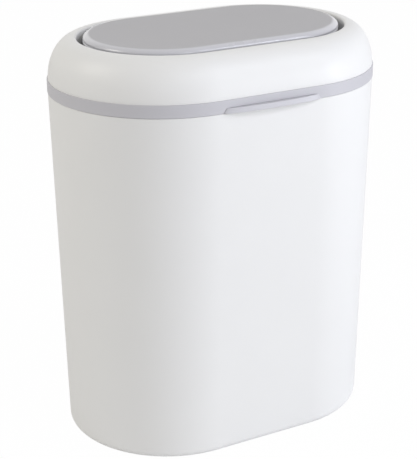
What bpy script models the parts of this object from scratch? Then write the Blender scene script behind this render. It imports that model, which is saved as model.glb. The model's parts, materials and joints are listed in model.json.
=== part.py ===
"""A free-standing nappy bin: an oval tub with a lift-up lid, and a press-to-open door in the lid.

Metres, +Z up. The bin's front faces -Y, its length runs along X, and the origin is the middle of
the surface that it stands on. Every level outline is a straight-sided oval: two half rounds whose
centres lie HALF_STRAIGHT to the left and right, so a radius alone says where a wall is.
"""

from math import cos, pi, radians, sin, sqrt

import bmesh
import bpy
from mathutils import Matrix, Vector

# Whole bin
HALF_STRAIGHT = 0.0570
SEAT_GAP = 0.0003
OVERRUN = 0.0010
MERGE_DISTANCE = 0.00001
ROUND_STEPS = 20
SHARP_ANGLE = radians(32)

# Tub
TUB_TOP_RADIUS = 0.1170
TUB_TAPER = 0.0078
TUB_HEIGHT = 0.3673
TUB_WALL = 0.0030
TUB_FLOOR = 0.0028
NECK_WALL = 0.0014
NECK_RISE = 0.0062
FOOT_EDGE_RADIUS = 0.0080
FOOT_RING_WIDTH = 0.0110
FOOT_RING_SLOPE = 0.0020
UNDERSIDE_RECESS = 0.0030
FOOT_EDGE_STEPS = 4

# Foot pads
PAD_RADIUS = 0.0045
PAD_STAND = 0.0010
PAD_SUNK = 0.0012
PAD_ANGLE = radians(45)
PAD_SIDES = 20

# Bag ring
BAG_RING_WALL = 0.0023
BAG_RING_PLAY = 0.0007
BAG_RING_SKIRT = 0.0128
BAG_RING_FLANGE = 0.0018
BAG_RING_SETBACK = 0.0003

# Rim band
BAND_OVERHANG = 0.0005
BAND_LAP_PLAY = 0.0004
BAND_FLANGE = 0.0021
BAND_EDGE = 0.0005

# Finger lip
LIP_LENGTH = 0.1100
LIP_REACH = 0.0070
LIP_HEIGHT = 0.0054
LIP_WALL = 0.0022
LIP_STEPS = 28

# Lid frame
DOME_INSET = 0.0011
DOME_REACH = 0.0276
DOME_RISE = 0.0406
DOME_WALL = 0.0022
DOME_STEPS = 8
MOUTH_EDGE_RADIUS = 0.0022
MOUTH_EDGE_STEPS = 3
MOUTH_DEPTH = 0.0197

# Lid base
BASE_PLATE = 0.0020
BASE_EDGE_PLAY = 0.0005
BASE_RISER_WALL = 0.0020
BASE_RISER_SETBACK = 0.0010
THROAT_DEPTH = 0.0140
THROAT_WALL = 0.0020

# Seals
DOOR_SEAL_INSET = 0.0015
DOOR_SEAL_WIDTH = 0.0050
DOOR_SEAL_HEIGHT = 0.0023
RIM_SEAL_WIDTH = 0.0040
RIM_SEAL_PLAY = 0.0010
RIM_SEAL_HEIGHT = 0.0018

# Door
DOOR_SIDE_GAP = 0.0063
DOOR_RISE = 0.0030
DOOR_EDGE_RADIUS = 0.0050
DOOR_EDGE_STEPS = 4
DOOR_WALL = 0.0012
DOOR_PLATE = 0.0022
DOOR_SKIRT = 0.0175
TRAY_PLAY = 0.0005
TRAY_PLATE = 0.0020
TRAY_WALL = 0.0018
TRAY_HEIGHT = 0.0061
TRAY_CHAMFER = 0.0012
TRAY_SEAL_GAP = 0.0003

# Door pivots
PIVOT_WALL_GAP = 0.0008
PIVOT_BELOW_CREST = 0.0032
PIVOT_PIN_RADIUS = 0.00125
PIVOT_BOSS_RADIUS = 0.0027
PIVOT_PLAY = 0.0003
PIVOT_HEAD_RADIUS = 0.0023
PIVOT_HEAD = 0.0015
DOOR_BOSS_LENGTH = 0.0180
DOOR_BOSS_SINK = 0.0010
FRAME_BOSS_OFFSET = 0.0007
FRAME_BOSS_LENGTH = 0.0070
PIVOT_SIDES = 16

# Lid hinge
HINGE_KNUCKLE_RADIUS = 0.00335
HINGE_PIN_RADIUS = 0.0016
HINGE_PLAY = 0.0003
HINGE_BAND_GAP = 0.00035
HINGE_LENGTH = 0.1000
HINGE_SIDE_GAP = 0.0005
HINGE_OUTER_KNUCKLE = 0.0140
HINGE_MIDDLE_KNUCKLE = 0.0180
HINGE_WEB_OFFSET = 0.0006
HINGE_WEB_INSET = 0.0004
HINGE_SIDES = 20

# Screws
SCREW_RADIUS = 0.0013
SCREW_PLAY = 0.0003
SCREW_HEAD_RADIUS = 0.0030
SCREW_HEAD = 0.0017
SCREW_HEAD_ROUND = 0.0006
SCREW_LONG = 0.0120
SCREW_SHORT = 0.0080
SCREW_TIP_ROOM = 0.0006
SCREW_BOSS_RADIUS = 0.0036
SCREW_SIDES = 14
LID_SCREW_INSET = 0.0050
LID_SCREW_SEAL_GAP = 0.0018
LID_SCREW_OFFSET_SHARE = 0.70
DOOR_SCREW_INSET = 0.0144
DOOR_SCREW_ANGLE = radians(70)

# Latch
STRIKER_SKIRT_GAP = 0.0007
SLOT_LAND = 0.0010
STRIKER_WIDTH = 0.0080
STRIKER_THICKNESS = 0.0028
STRIKER_DROP = 0.0060
STRIKER_PLAY = 0.0006
STRIKER_SWING_ROOM = 0.0027
STRIKER_BASE_WIDTH = 0.0140
STRIKER_BASE_LENGTH = 0.0210
STRIKER_BASE = 0.0015
STRIKER_BOSS_RADIUS = 0.0030
STRIKER_BOSS_HEIGHT = 0.0058
STRIKER_SCREW_SETBACK = 0.0170
PLUNGER_WIDTH = 0.0100
PLUNGER_DEPTH = 0.0074
PLUNGER_HEIGHT = 0.0060
PLUNGER_SPIGOT_RADIUS = 0.0015
PLUNGER_SPIGOT = 0.0020
LATCH_WALL = 0.0017
LATCH_HEIGHT = 0.0190
LATCH_EAR_REACH = 0.0175
LATCH_EAR_DEPTH = 0.0070
LATCH_EAR = 0.0023
LATCH_EAR_DROP = 0.0067
LATCH_SCREW_OFFSET = 0.0140
SPRING_RADIUS = 0.0026
SPRING_WIRE_RADIUS = 0.00035
SPRING_TURNS = 4
SPRING_POINTS_A_TURN = 10

# Levels, from the ground up
FOOT_LEVEL = PAD_STAND
SHOULDER_LEVEL = FOOT_LEVEL + TUB_HEIGHT
NECK_LEVEL = SHOULDER_LEVEL + NECK_RISE
BAG_RING_LEVEL = NECK_LEVEL + SEAT_GAP + BAG_RING_FLANGE
BAND_LEVEL = SHOULDER_LEVEL + SEAT_GAP
RIM_SEAL_LEVEL = BAG_RING_LEVEL + SEAT_GAP
RIM_SEAL_TOP = RIM_SEAL_LEVEL + RIM_SEAL_HEIGHT
FLANGE_LEVEL = RIM_SEAL_TOP + SEAT_GAP
BAND_TOP = FLANGE_LEVEL + BAND_FLANGE
DOME_LEVEL = BAND_TOP + SEAT_GAP
DOME_TOP = DOME_LEVEL + DOME_RISE
MOUTH_LEVEL = DOME_TOP - MOUTH_DEPTH
LEDGE_TOP = MOUTH_LEVEL - SEAT_GAP
LEDGE_LEVEL = LEDGE_TOP - BASE_PLATE
PLATE_TOP = DOME_LEVEL + BASE_PLATE
DOOR_SEAL_TOP = MOUTH_LEVEL + DOOR_SEAL_HEIGHT
TRAY_LEVEL = DOOR_SEAL_TOP + TRAY_SEAL_GAP
TRAY_TOP = TRAY_LEVEL + TRAY_PLATE
DOOR_TOP = DOME_TOP + DOOR_RISE
SKIRT_LEVEL = DOOR_TOP - DOOR_SKIRT
PIVOT_LEVEL = DOME_TOP - PIVOT_BELOW_CREST
HINGE_LEVEL = SHOULDER_LEVEL + SEAT_GAP / 2
LATCH_TOP = LEDGE_LEVEL - SEAT_GAP
LATCH_LEVEL = LATCH_TOP - LATCH_HEIGHT
LATCH_FLOOR = LATCH_LEVEL + LATCH_WALL
EAR_TOP = LATCH_TOP - LATCH_EAR_DROP
EAR_LEVEL = EAR_TOP - LATCH_EAR
STRIKER_LEVEL = LEDGE_TOP - STRIKER_DROP
PLUNGER_TOP = STRIKER_LEVEL - SEAT_GAP
PLUNGER_LEVEL = PLUNGER_TOP - PLUNGER_HEIGHT


def axis_reach(radius):
    """How far out along X the door's pivot axis meets an oval wall of a radius."""
    return HALF_STRAIGHT + sqrt(radius ** 2 - PIVOT_BEHIND ** 2)


# Radii, from the outside in
TUB_BASE_RADIUS = TUB_TOP_RADIUS - TUB_TAPER
NECK_INNER = TUB_TOP_RADIUS - TUB_WALL
NECK_OUTER = NECK_INNER + NECK_WALL
BAND_RADIUS = TUB_TOP_RADIUS + BAND_OVERHANG
LAP_RADIUS = NECK_OUTER + BAND_LAP_PLAY
RIM_SEAL_RADIUS = LAP_RADIUS - RIM_SEAL_PLAY - RIM_SEAL_WIDTH
LID_SCREW_RADIUS = RIM_SEAL_RADIUS - LID_SCREW_SEAL_GAP - SCREW_HEAD_RADIUS
FLANGE_RADIUS = LID_SCREW_RADIUS - LID_SCREW_INSET
DOME_RADIUS = BAND_RADIUS - DOME_INSET
CREST_RADIUS = DOME_RADIUS - DOME_REACH
MOUTH_RADIUS = CREST_RADIUS - MOUTH_EDGE_RADIUS
BASE_EDGE_RADIUS = DOME_RADIUS - DOME_WALL - BASE_EDGE_PLAY
RISER_RADIUS = MOUTH_RADIUS + DOME_WALL + BASE_RISER_SETBACK
DOOR_RADIUS = MOUTH_RADIUS - DOOR_SIDE_GAP
TRAY_RADIUS = DOOR_RADIUS - DOOR_WALL - TRAY_PLAY
LATCH_CENTRE = DOOR_RADIUS - DOOR_WALL - STRIKER_SKIRT_GAP - STRIKER_THICKNESS / 2
DOOR_SEAL_RADIUS = LATCH_CENTRE - STRIKER_THICKNESS / 2 - STRIKER_PLAY - SLOT_LAND
STRIKER_SCREW_Y = -LATCH_CENTRE + STRIKER_SCREW_SETBACK
THROAT_RADIUS = DOOR_SEAL_RADIUS - DOOR_SEAL_WIDTH - DOOR_SEAL_INSET
PIVOT_BEHIND = DOOR_RADIUS - DOOR_WALL - PIVOT_WALL_GAP - PIVOT_HEAD_RADIUS
DOOR_BOSS_END = axis_reach(DOOR_RADIUS - DOOR_WALL) + DOOR_BOSS_SINK
DOOR_BOSS_START = DOOR_BOSS_END - DOOR_BOSS_LENGTH
FRAME_BOSS_START = axis_reach(MOUTH_RADIUS) + FRAME_BOSS_OFFSET
FRAME_BOSS_END = FRAME_BOSS_START + FRAME_BOSS_LENGTH
HINGE_BEHIND = BAND_RADIUS + HINGE_BAND_GAP + HINGE_KNUCKLE_RADIUS

# Joint axes
LID_AXIS = Vector((0, HINGE_BEHIND, HINGE_LEVEL))
DOOR_AXIS = Vector((0, PIVOT_BEHIND, PIVOT_LEVEL))
PLUNGER_AXIS = Vector((0, -LATCH_CENTRE, PLUNGER_LEVEL))
NO_AXIS = Vector((0, 0, 0))

# Colour, roughness and metallic value of each sub-part's material
WHITE = ((0.80, 0.80, 0.79), 0.44, 0.0)
GREY = ((0.525, 0.52, 0.55), 0.28, 0.0)
DOOR_GREY = ((0.43, 0.425, 0.44), 0.46, 0.0)
INNER_GREY = ((0.16, 0.16, 0.165), 0.48, 0.0)
RUBBER = ((0.06, 0.06, 0.06), 0.80, 0.0)
SOFT_GREY = ((0.22, 0.22, 0.23), 0.75, 0.0)
STEEL = ((0.62, 0.62, 0.63), 0.30, 1.0)

SIDES = {"left": -1, "right": 1}


def clear_scene():
    """Empty the scene that the script is run in."""
    for thing in list(bpy.data.objects):
        bpy.data.objects.remove(thing, do_unlink=True)


def new_collection(name):
    """A collection in the scene."""
    collection = bpy.data.collections.new(name)
    bpy.context.scene.collection.children.link(collection)
    return collection


clear_scene()
PARTS = new_collection("nappy_bin")
CUTTERS = new_collection("nappy_bin_cutters")


def new_empty(name, axis, parent=None, parent_axis=NO_AXIS):
    """An empty on a joint's axis, which carries the pieces that move about it."""
    empty = bpy.data.objects.new(name, None)
    empty.empty_display_size = HINGE_LENGTH / 2
    empty.location = axis - parent_axis
    empty.parent = parent
    PARTS.objects.link(empty)
    return empty


LID_EMPTY = new_empty("lid_axis", LID_AXIS)
DOOR_EMPTY = new_empty("door_axis", DOOR_AXIS, LID_EMPTY, LID_AXIS)
PLUNGER_EMPTY = new_empty("plunger_axis", PLUNGER_AXIS, LID_EMPTY, LID_AXIS)

# What carries a piece: its parent and where that parent stands
TUB_BODY = (None, NO_AXIS)
LID_BODY = (LID_EMPTY, LID_AXIS)
DOOR_BODY = (DOOR_EMPTY, DOOR_AXIS)
PLUNGER_BODY = (PLUNGER_EMPTY, PLUNGER_AXIS)


def give_material(thing, finish):
    """A Principled material of the piece's own."""
    colour, roughness, metallic = finish
    material = bpy.data.materials.new(thing.name + "_material")
    material.use_nodes = True
    shader = material.node_tree.nodes["Principled BSDF"]
    shader.inputs["Base Color"].default_value = (*colour, 1)
    shader.inputs["Roughness"].default_value = roughness
    shader.inputs["Metallic"].default_value = metallic
    material.diffuse_color = (*colour, 1)
    if thing.data.materials:
        thing.data.materials[0] = material
    else:
        thing.data.materials.append(material)


def place(thing, body, finish, position=NO_AXIS):
    """Put a piece in the bin, on the body that carries it."""
    parent, axis = body
    thing.parent = parent
    thing.location = position - axis
    PARTS.objects.link(thing)
    give_material(thing, finish)
    return thing


def as_tool(thing):
    """Keep a shape as a cutter or a guide, out of the finished bin."""
    CUTTERS.objects.link(thing)
    thing.hide_render = True
    thing.display_type = "WIRE"
    return thing


def mesh_object(name, bm):
    """An object with the mesh just modelled, shaded smooth but for its sharp edges."""
    bmesh.ops.recalc_face_normals(bm, faces=bm.faces)
    mesh = bpy.data.meshes.new(name)
    bm.to_mesh(mesh)
    bm.free()
    mesh.shade_smooth()
    mesh.set_sharp_from_angle(angle=SHARP_ANGLE)
    return bpy.data.objects.new(name, mesh)


def arc(centre, across, up, start, end, steps):
    """Points of an arc, from one angle to another, as pairs of radius and height."""
    turns = [radians(start + (end - start) * step / steps) for step in range(steps + 1)]
    return [(centre[0] + across * cos(turn), centre[1] + up * sin(turn)) for turn in turns]


def oval(name, profile, ring=True):
    """Sweep a profile of radii and heights along the bin's oval outline.

    The right half is a half turn with two straight runs to the middle, and Mirror adds the left.
    A ring's profile closes on itself, and any other starts and ends at radius zero.
    """
    bm = bmesh.new()
    points = [bm.verts.new((HALF_STRAIGHT, -radius, height)) for radius, height in profile]
    following = points[1:] + points[:1] if ring else points[1:]
    edges = [bm.edges.new(pair) for pair in zip(points, following)]
    spun = bmesh.ops.spin(bm, geom=points + edges, cent=(HALF_STRAIGHT, 0, 0), axis=(0, 0, 1),
                          angle=pi, steps=ROUND_STEPS)
    last = [item for item in spun["geom_last"] if isinstance(item, bmesh.types.BMEdge)]
    for end in (edges, last):
        run = bmesh.ops.extrude_edge_only(bm, edges=end)["geom"]
        moved = [item for item in run if isinstance(item, bmesh.types.BMVert)]
        bmesh.ops.translate(bm, verts=moved, vec=(-HALF_STRAIGHT, 0, 0))
    bmesh.ops.remove_doubles(bm, verts=bm.verts, dist=MERGE_DISTANCE)
    thing = mesh_object(name, bm)
    mirror = thing.modifiers.new("left half", "MIRROR")
    mirror.merge_threshold = MERGE_DISTANCE
    return thing


def turned(name, profile, sides):
    """Turn a profile of radii and heights, listed from its top to its bottom, about Z."""
    mesh = bpy.data.meshes.new(name)
    points = [(radius, 0, height) for radius, height in profile]
    mesh.from_pydata(points, [(i, i + 1) for i in range(len(points) - 1)], [])
    thing = bpy.data.objects.new(name, mesh)
    screw = thing.modifiers.new("turn", "SCREW")
    screw.steps = sides
    screw.render_steps = sides
    screw.use_merge_vertices = True
    screw.merge_threshold = MERGE_DISTANCE
    screw.use_smooth_shade = False
    return thing


def upright_cylinders(name, centres, radius, bottom, top, sides=SCREW_SIDES):
    """Upright cylinders between two levels, as one tool."""
    bm = bmesh.new()
    for x, y in centres:
        middle = Matrix.Translation((x, y, (bottom + top) / 2))
        bmesh.ops.create_cone(bm, cap_ends=True, segments=sides, radius1=radius, radius2=radius,
                              depth=top - bottom, matrix=middle)
    return as_tool(mesh_object(name, bm))


def level_cylinders(name, spans, axis, radius, sides):
    """Cylinders along X about an axis, one for each span of x, as one tool."""
    bm = bmesh.new()
    for start, end in spans:
        middle = Matrix.Translation(((start + end) / 2, axis.y, axis.z))
        turn = Matrix.Rotation(radians(90), 4, "Y")
        bmesh.ops.create_cone(bm, cap_ends=True, segments=sides, radius1=radius, radius2=radius,
                              depth=abs(end - start), matrix=middle @ turn)
    return as_tool(mesh_object(name, bm))


def box_shape(bm, low, high):
    """Add a box between two corners."""
    low = Vector(low)
    high = Vector(high)
    size = high - low
    matrix = Matrix.Translation((low + high) / 2) @ Matrix.Diagonal((*size, 1))
    bmesh.ops.create_cube(bm, size=1, matrix=matrix)


def boxes(name, corners):
    """Boxes, each between two corners, as one tool."""
    bm = bmesh.new()
    for low, high in corners:
        box_shape(bm, low, high)
    return as_tool(mesh_object(name, bm))


def combine(thing, tool, operation):
    """Join a tool to a piece, or cut the piece with it."""
    boolean = thing.modifiers.new(tool.name, "BOOLEAN")
    boolean.operation = operation
    boolean.object = tool


def fuse(thing, tool):
    """Make a tool's shape part of a piece."""
    combine(thing, tool, "UNION")


def cut(thing, tool):
    """Cut a tool's shape out of a piece."""
    combine(thing, tool, "DIFFERENCE")


def wall_radius(height):
    """Outer radius of the tub's sloping wall at a height."""
    rise_share = (height - FOOT_LEVEL) / TUB_HEIGHT
    return TUB_BASE_RADIUS + (TUB_TOP_RADIUS - TUB_BASE_RADIUS) * rise_share


def dome_height(radius):
    """Height of the lid frame's outer surface at a radius outside its crest."""
    reach_share = (radius - CREST_RADIUS) / DOME_REACH
    return DOME_LEVEL + DOME_RISE * sqrt(1 - reach_share ** 2)


def pad_places():
    """Where the four foot pads stand, in the middle of the foot ring."""
    ring = TUB_BASE_RADIUS - FOOT_EDGE_RADIUS - FOOT_RING_WIDTH / 2
    x = HALF_STRAIGHT + ring * cos(PAD_ANGLE)
    y = ring * sin(PAD_ANGLE)
    return [(side * x, end * y) for end in (-1, 1) for side in (-1, 1)]


def lid_screw_places():
    """Two screws along the front, two along the back and one at each end of the lid."""
    x = HALF_STRAIGHT * LID_SCREW_OFFSET_SHARE
    rows = [(side * x, end * LID_SCREW_RADIUS) for end in (-1, 1) for side in (-1, 1)]
    ends = [(side * (HALF_STRAIGHT + LID_SCREW_RADIUS), 0) for side in (-1, 1)]
    return rows + ends


def door_screw_places():
    """One screw near each corner of the door."""
    radius = THROAT_RADIUS - DOOR_SCREW_INSET
    x = HALF_STRAIGHT + radius * cos(DOOR_SCREW_ANGLE)
    y = radius * sin(DOOR_SCREW_ANGLE)
    return [(side * x, end * y) for end in (-1, 1) for side in (-1, 1)]


def latch_screw_places():
    """One screw on each side of the latch."""
    return [(side * LATCH_SCREW_OFFSET, -LATCH_CENTRE) for side in (-1, 1)]


def hinge_spans():
    """Spans of x that the lid hinge's knuckles fill: the tub's three, then the lid's two."""
    half = HINGE_LENGTH / 2
    inner = HINGE_MIDDLE_KNUCKLE / 2
    outer = half - HINGE_OUTER_KNUCKLE
    tub = [(-half, -outer), (-inner, inner), (outer, half)]
    right = (inner + HINGE_SIDE_GAP, outer - HINGE_SIDE_GAP)
    lid = [(-right[1], -right[0]), right]
    return tub, lid


def add_knuckles(thing, spans, web_start, web_bottom, web_top):
    """Fuse hinge knuckles to a wall by their webs, and bore them for the hinge pin."""
    web_end = HINGE_BEHIND - HINGE_KNUCKLE_RADIUS / 2
    webs = [((start + HINGE_WEB_INSET, web_start, web_bottom), (end - HINGE_WEB_INSET, web_end, web_top))
            for start, end in spans]
    fuse(thing, boxes(thing.name + "_webs", webs))
    fuse(thing, level_cylinders(thing.name + "_knuckles", spans, LID_AXIS,
                                HINGE_KNUCKLE_RADIUS, HINGE_SIDES))
    bores = [(start - OVERRUN, end + OVERRUN) for start, end in spans]
    bore = HINGE_PIN_RADIUS + HINGE_PLAY
    cut(thing, level_cylinders(thing.name + "_bores", bores, LID_AXIS, bore, HINGE_SIDES))


def make_tub():
    """The white tub: a sloping wall, a floor on a foot ring, and a neck that the lid laps over."""
    foot_wall = wall_radius(FOOT_LEVEL + FOOT_EDGE_RADIUS)
    edge = (foot_wall - FOOT_EDGE_RADIUS, FOOT_LEVEL + FOOT_EDGE_RADIUS)
    ring = TUB_BASE_RADIUS - FOOT_EDGE_RADIUS - FOOT_RING_WIDTH
    recess = FOOT_LEVEL + UNDERSIDE_RECESS
    profile = [(0, recess), (ring - FOOT_RING_SLOPE, recess), (ring, FOOT_LEVEL)]
    profile += arc(edge, FOOT_EDGE_RADIUS, FOOT_EDGE_RADIUS, -90, 0, FOOT_EDGE_STEPS)
    profile += [(TUB_TOP_RADIUS, SHOULDER_LEVEL), (NECK_OUTER, SHOULDER_LEVEL)]
    profile += [(NECK_OUTER, NECK_LEVEL), (NECK_INNER, NECK_LEVEL), (NECK_INNER, SHOULDER_LEVEL)]
    profile += arc(edge, FOOT_EDGE_RADIUS - TUB_WALL, FOOT_EDGE_RADIUS - TUB_FLOOR, 0, -90, FOOT_EDGE_STEPS)
    profile += [(ring, FOOT_LEVEL + TUB_FLOOR), (ring - FOOT_RING_SLOPE, recess + TUB_FLOOR)]
    profile += [(0, recess + TUB_FLOOR)]
    tub = oval("tub", profile, ring=False)
    tub_spans, _ = hinge_spans()
    add_knuckles(tub, tub_spans, wall_radius(HINGE_LEVEL) - TUB_WALL / 2,
                 HINGE_LEVEL - HINGE_KNUCKLE_RADIUS + HINGE_WEB_INSET, HINGE_LEVEL - HINGE_WEB_OFFSET)
    cut(tub, upright_cylinders("pad_sockets", pad_places(), PAD_RADIUS + SEAT_GAP,
                               FOOT_LEVEL - OVERRUN, FOOT_LEVEL + PAD_SUNK, PAD_SIDES))
    place(tub, TUB_BODY, WHITE)


def make_foot_pads():
    """Four non-slip pads, sunk into the foot ring, that the bin stands on."""
    top = FOOT_LEVEL + PAD_SUNK - SEAT_GAP
    profile = [(0, top), (PAD_RADIUS, top), (PAD_RADIUS, 0), (0, 0)]
    for number, (x, y) in enumerate(pad_places(), 1):
        pad = turned(f"foot_pad_{number}", profile, PAD_SIDES)
        place(pad, TUB_BODY, RUBBER, Vector((x, y, 0)))


def make_bag_ring():
    """The ring that grips the bag's edge over the tub's neck."""
    outer = NECK_INNER - BAG_RING_PLAY
    inner = outer - BAG_RING_WALL
    under_flange = NECK_LEVEL + SEAT_GAP
    skirt = BAG_RING_LEVEL - BAG_RING_SKIRT
    flange = NECK_OUTER - BAG_RING_SETBACK
    profile = [(flange, under_flange), (flange, BAG_RING_LEVEL), (inner, BAG_RING_LEVEL)]
    profile += [(inner, skirt), (outer, skirt), (outer, under_flange)]
    place(oval("bag_ring", profile), TUB_BODY, SOFT_GREY)


def make_hinge_pin():
    """The steel rod through the lid hinge's knuckles."""
    half = HINGE_LENGTH / 2
    rod = [(0, half), (HINGE_PIN_RADIUS, half), (HINGE_PIN_RADIUS, -half), (0, -half)]
    pin = turned("lid_hinge_pin", rod, HINGE_SIDES)
    pin.rotation_euler = (0, radians(90), 0)
    place(pin, TUB_BODY, STEEL, LID_AXIS)


def lip_slab(name, inset, sink, bottom, top):
    """A slab with the finger lip's half-oval front, drawn in by an inset, its back sunk in the band."""
    half = LIP_LENGTH / 2 - inset
    reach = LIP_REACH - inset
    turns = [pi * step / LIP_STEPS for step in range(LIP_STEPS + 1)]
    outline = [(half * cos(turn), -BAND_RADIUS - reach * sin(turn)) for turn in turns]
    outline += [(-half, -BAND_RADIUS + sink), (half, -BAND_RADIUS + sink)]
    bm = bmesh.new()
    points = [bm.verts.new((x, y, bottom)) for x, y in outline]
    edges = [bm.edges.new(pair) for pair in zip(points, points[1:] + points[:1])]
    face = bmesh.ops.contextual_create(bm, geom=edges)["faces"]
    raised = bmesh.ops.extrude_face_region(bm, geom=face)["geom"]
    moved = [item for item in raised if isinstance(item, bmesh.types.BMVert)]
    bmesh.ops.translate(bm, verts=moved, vec=(0, 0, top - bottom))
    return as_tool(mesh_object(name, bm))


def make_rim_band():
    """The grey band: it laps over the tub's neck, lifts by its finger lip and turns on the hinge."""
    profile = [(BAND_RADIUS - BAND_EDGE, BAND_LEVEL), (BAND_RADIUS, BAND_LEVEL + BAND_EDGE)]
    profile += [(BAND_RADIUS, BAND_TOP - BAND_EDGE), (BAND_RADIUS - BAND_EDGE, BAND_TOP)]
    profile += [(FLANGE_RADIUS, BAND_TOP), (FLANGE_RADIUS, FLANGE_LEVEL)]
    profile += [(LAP_RADIUS, FLANGE_LEVEL), (LAP_RADIUS, BAND_LEVEL)]
    band = oval("rim_band", profile)
    lip_top = BAND_LEVEL + LIP_HEIGHT
    wall_middle = (BAND_RADIUS - LAP_RADIUS) / 2
    fuse(band, lip_slab("finger_lip", 0, wall_middle, BAND_LEVEL, lip_top))
    cut(band, lip_slab("finger_lip_hollow", LIP_WALL, 0, BAND_LEVEL - OVERRUN, lip_top - LIP_WALL))
    _, lid_spans = hinge_spans()
    add_knuckles(band, lid_spans, BAND_RADIUS - wall_middle,
                 HINGE_LEVEL + HINGE_WEB_OFFSET, HINGE_LEVEL + HINGE_KNUCKLE_RADIUS - HINGE_WEB_INSET)
    cut(band, upright_cylinders("band_screw_holes", lid_screw_places(), SCREW_RADIUS + SCREW_PLAY,
                                FLANGE_LEVEL - OVERRUN, BAND_TOP + OVERRUN))
    place(band, LID_BODY, GREY)


def make_lid_frame():
    """The white frame: a domed shell that curls over into the door's opening, with screw bosses."""
    crest = (CREST_RADIUS, DOME_LEVEL)
    edge = (CREST_RADIUS, DOME_TOP - MOUTH_EDGE_RADIUS)
    profile = arc(crest, DOME_REACH, DOME_RISE, 0, 90, DOME_STEPS)
    profile += arc(edge, MOUTH_EDGE_RADIUS, MOUTH_EDGE_RADIUS, 90, 180, MOUTH_EDGE_STEPS)[1:]
    profile += [(MOUTH_RADIUS, MOUTH_LEVEL), (MOUTH_RADIUS + DOME_WALL, MOUTH_LEVEL)]
    profile += arc(crest, DOME_REACH - DOME_WALL, DOME_RISE - DOME_WALL, 90, 0, DOME_STEPS)
    frame = oval("lid_frame", profile)
    boss_level = PLATE_TOP + SEAT_GAP
    boss_top = dome_height(LID_SCREW_RADIUS + SCREW_BOSS_RADIUS) - DOME_WALL / 2
    fuse(frame, upright_cylinders("frame_bosses", lid_screw_places(), SCREW_BOSS_RADIUS,
                                  boss_level, boss_top))
    screw_tip = FLANGE_LEVEL - SEAT_GAP + SCREW_LONG
    cut(frame, upright_cylinders("frame_screw_holes", lid_screw_places(), SCREW_RADIUS + SCREW_PLAY,
                                 boss_level - OVERRUN, screw_tip + SCREW_TIP_ROOM))
    bosses = [(side * FRAME_BOSS_START, side * FRAME_BOSS_END) for side in SIDES.values()]
    fuse(frame, level_cylinders("frame_pivot_bosses", bosses, DOOR_AXIS, PIVOT_BOSS_RADIUS, PIVOT_SIDES))
    bores = [(side * DOOR_BOSS_START, side * (pivot_pin_end() + PIVOT_PLAY)) for side in SIDES.values()]
    bore = PIVOT_PIN_RADIUS + PIVOT_PLAY
    cut(frame, level_cylinders("frame_pivot_bores", bores, DOOR_AXIS, bore, PIVOT_SIDES))
    place(frame, LID_BODY, WHITE)


def pivot_pin_end():
    """How far out a pivot pin reaches: most of the way through the frame's boss."""
    return FRAME_BOSS_END - PIVOT_HEAD


def make_lid_base():
    """The plate under the dome, with the ledge that the door shuts on and the throat inside it."""
    throat = LEDGE_TOP - THROAT_DEPTH
    profile = [(BASE_EDGE_RADIUS, DOME_LEVEL), (BASE_EDGE_RADIUS, PLATE_TOP), (RISER_RADIUS, PLATE_TOP)]
    profile += [(RISER_RADIUS, LEDGE_TOP), (THROAT_RADIUS, LEDGE_TOP), (THROAT_RADIUS, throat)]
    profile += [(THROAT_RADIUS + THROAT_WALL, throat), (THROAT_RADIUS + THROAT_WALL, LEDGE_LEVEL)]
    profile += [(RISER_RADIUS - BASE_RISER_WALL, LEDGE_LEVEL), (RISER_RADIUS - BASE_RISER_WALL, DOME_LEVEL)]
    base = oval("lid_base", profile)
    fuse(base, upright_cylinders("latch_bosses", latch_screw_places(), STRIKER_BOSS_RADIUS,
                                 EAR_TOP + SEAT_GAP, LEDGE_LEVEL + BASE_PLATE / 2))
    hole = SCREW_RADIUS + SCREW_PLAY
    cut(base, upright_cylinders("latch_boss_holes", latch_screw_places(), hole,
                                EAR_TOP, EAR_LEVEL - SEAT_GAP + SCREW_SHORT + SCREW_TIP_ROOM))
    cut(base, upright_cylinders("base_screw_holes", lid_screw_places(), hole,
                                DOME_LEVEL - OVERRUN, PLATE_TOP + OVERRUN))
    front, back, half = striker_limits()
    slot = half + STRIKER_PLAY
    cut(base, boxes("striker_slot", [((-slot, front - STRIKER_SWING_ROOM, LEDGE_LEVEL - OVERRUN),
                                      (slot, back + STRIKER_PLAY, LEDGE_TOP + OVERRUN))]))
    place(base, LID_BODY, INNER_GREY)


def striker_limits():
    """The striker tongue's front and back faces, and half its width."""
    front = -LATCH_CENTRE - STRIKER_THICKNESS / 2
    return front, front + STRIKER_THICKNESS, STRIKER_WIDTH / 2


def make_seals():
    """The soft rings that shut the bin: one under the door, one under the lid."""
    outer = DOOR_SEAL_RADIUS
    inner = outer - DOOR_SEAL_WIDTH
    ring = [(outer, MOUTH_LEVEL), (outer, DOOR_SEAL_TOP), (inner, DOOR_SEAL_TOP), (inner, MOUTH_LEVEL)]
    place(oval("door_seal", ring), LID_BODY, SOFT_GREY)
    outer = RIM_SEAL_RADIUS + RIM_SEAL_WIDTH
    inner = RIM_SEAL_RADIUS
    ring = [(outer, RIM_SEAL_LEVEL), (outer, RIM_SEAL_TOP), (inner, RIM_SEAL_TOP), (inner, RIM_SEAL_LEVEL)]
    place(oval("rim_seal", ring), LID_BODY, SOFT_GREY)


def make_screw(name, body, x, y, seat, length):
    """A pan-head screw driven up from below, its head just under the face at the seat level."""
    profile = [(0, length), (SCREW_RADIUS, length), (SCREW_RADIUS, 0), (SCREW_HEAD_RADIUS, 0)]
    profile += [(SCREW_HEAD_RADIUS, -SCREW_HEAD + SCREW_HEAD_ROUND)]
    profile += [(SCREW_HEAD_RADIUS - SCREW_HEAD_ROUND, -SCREW_HEAD), (0, -SCREW_HEAD)]
    place(turned(name, profile, SCREW_SIDES), body, STEEL, Vector((x, y, seat - SEAT_GAP)))


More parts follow.
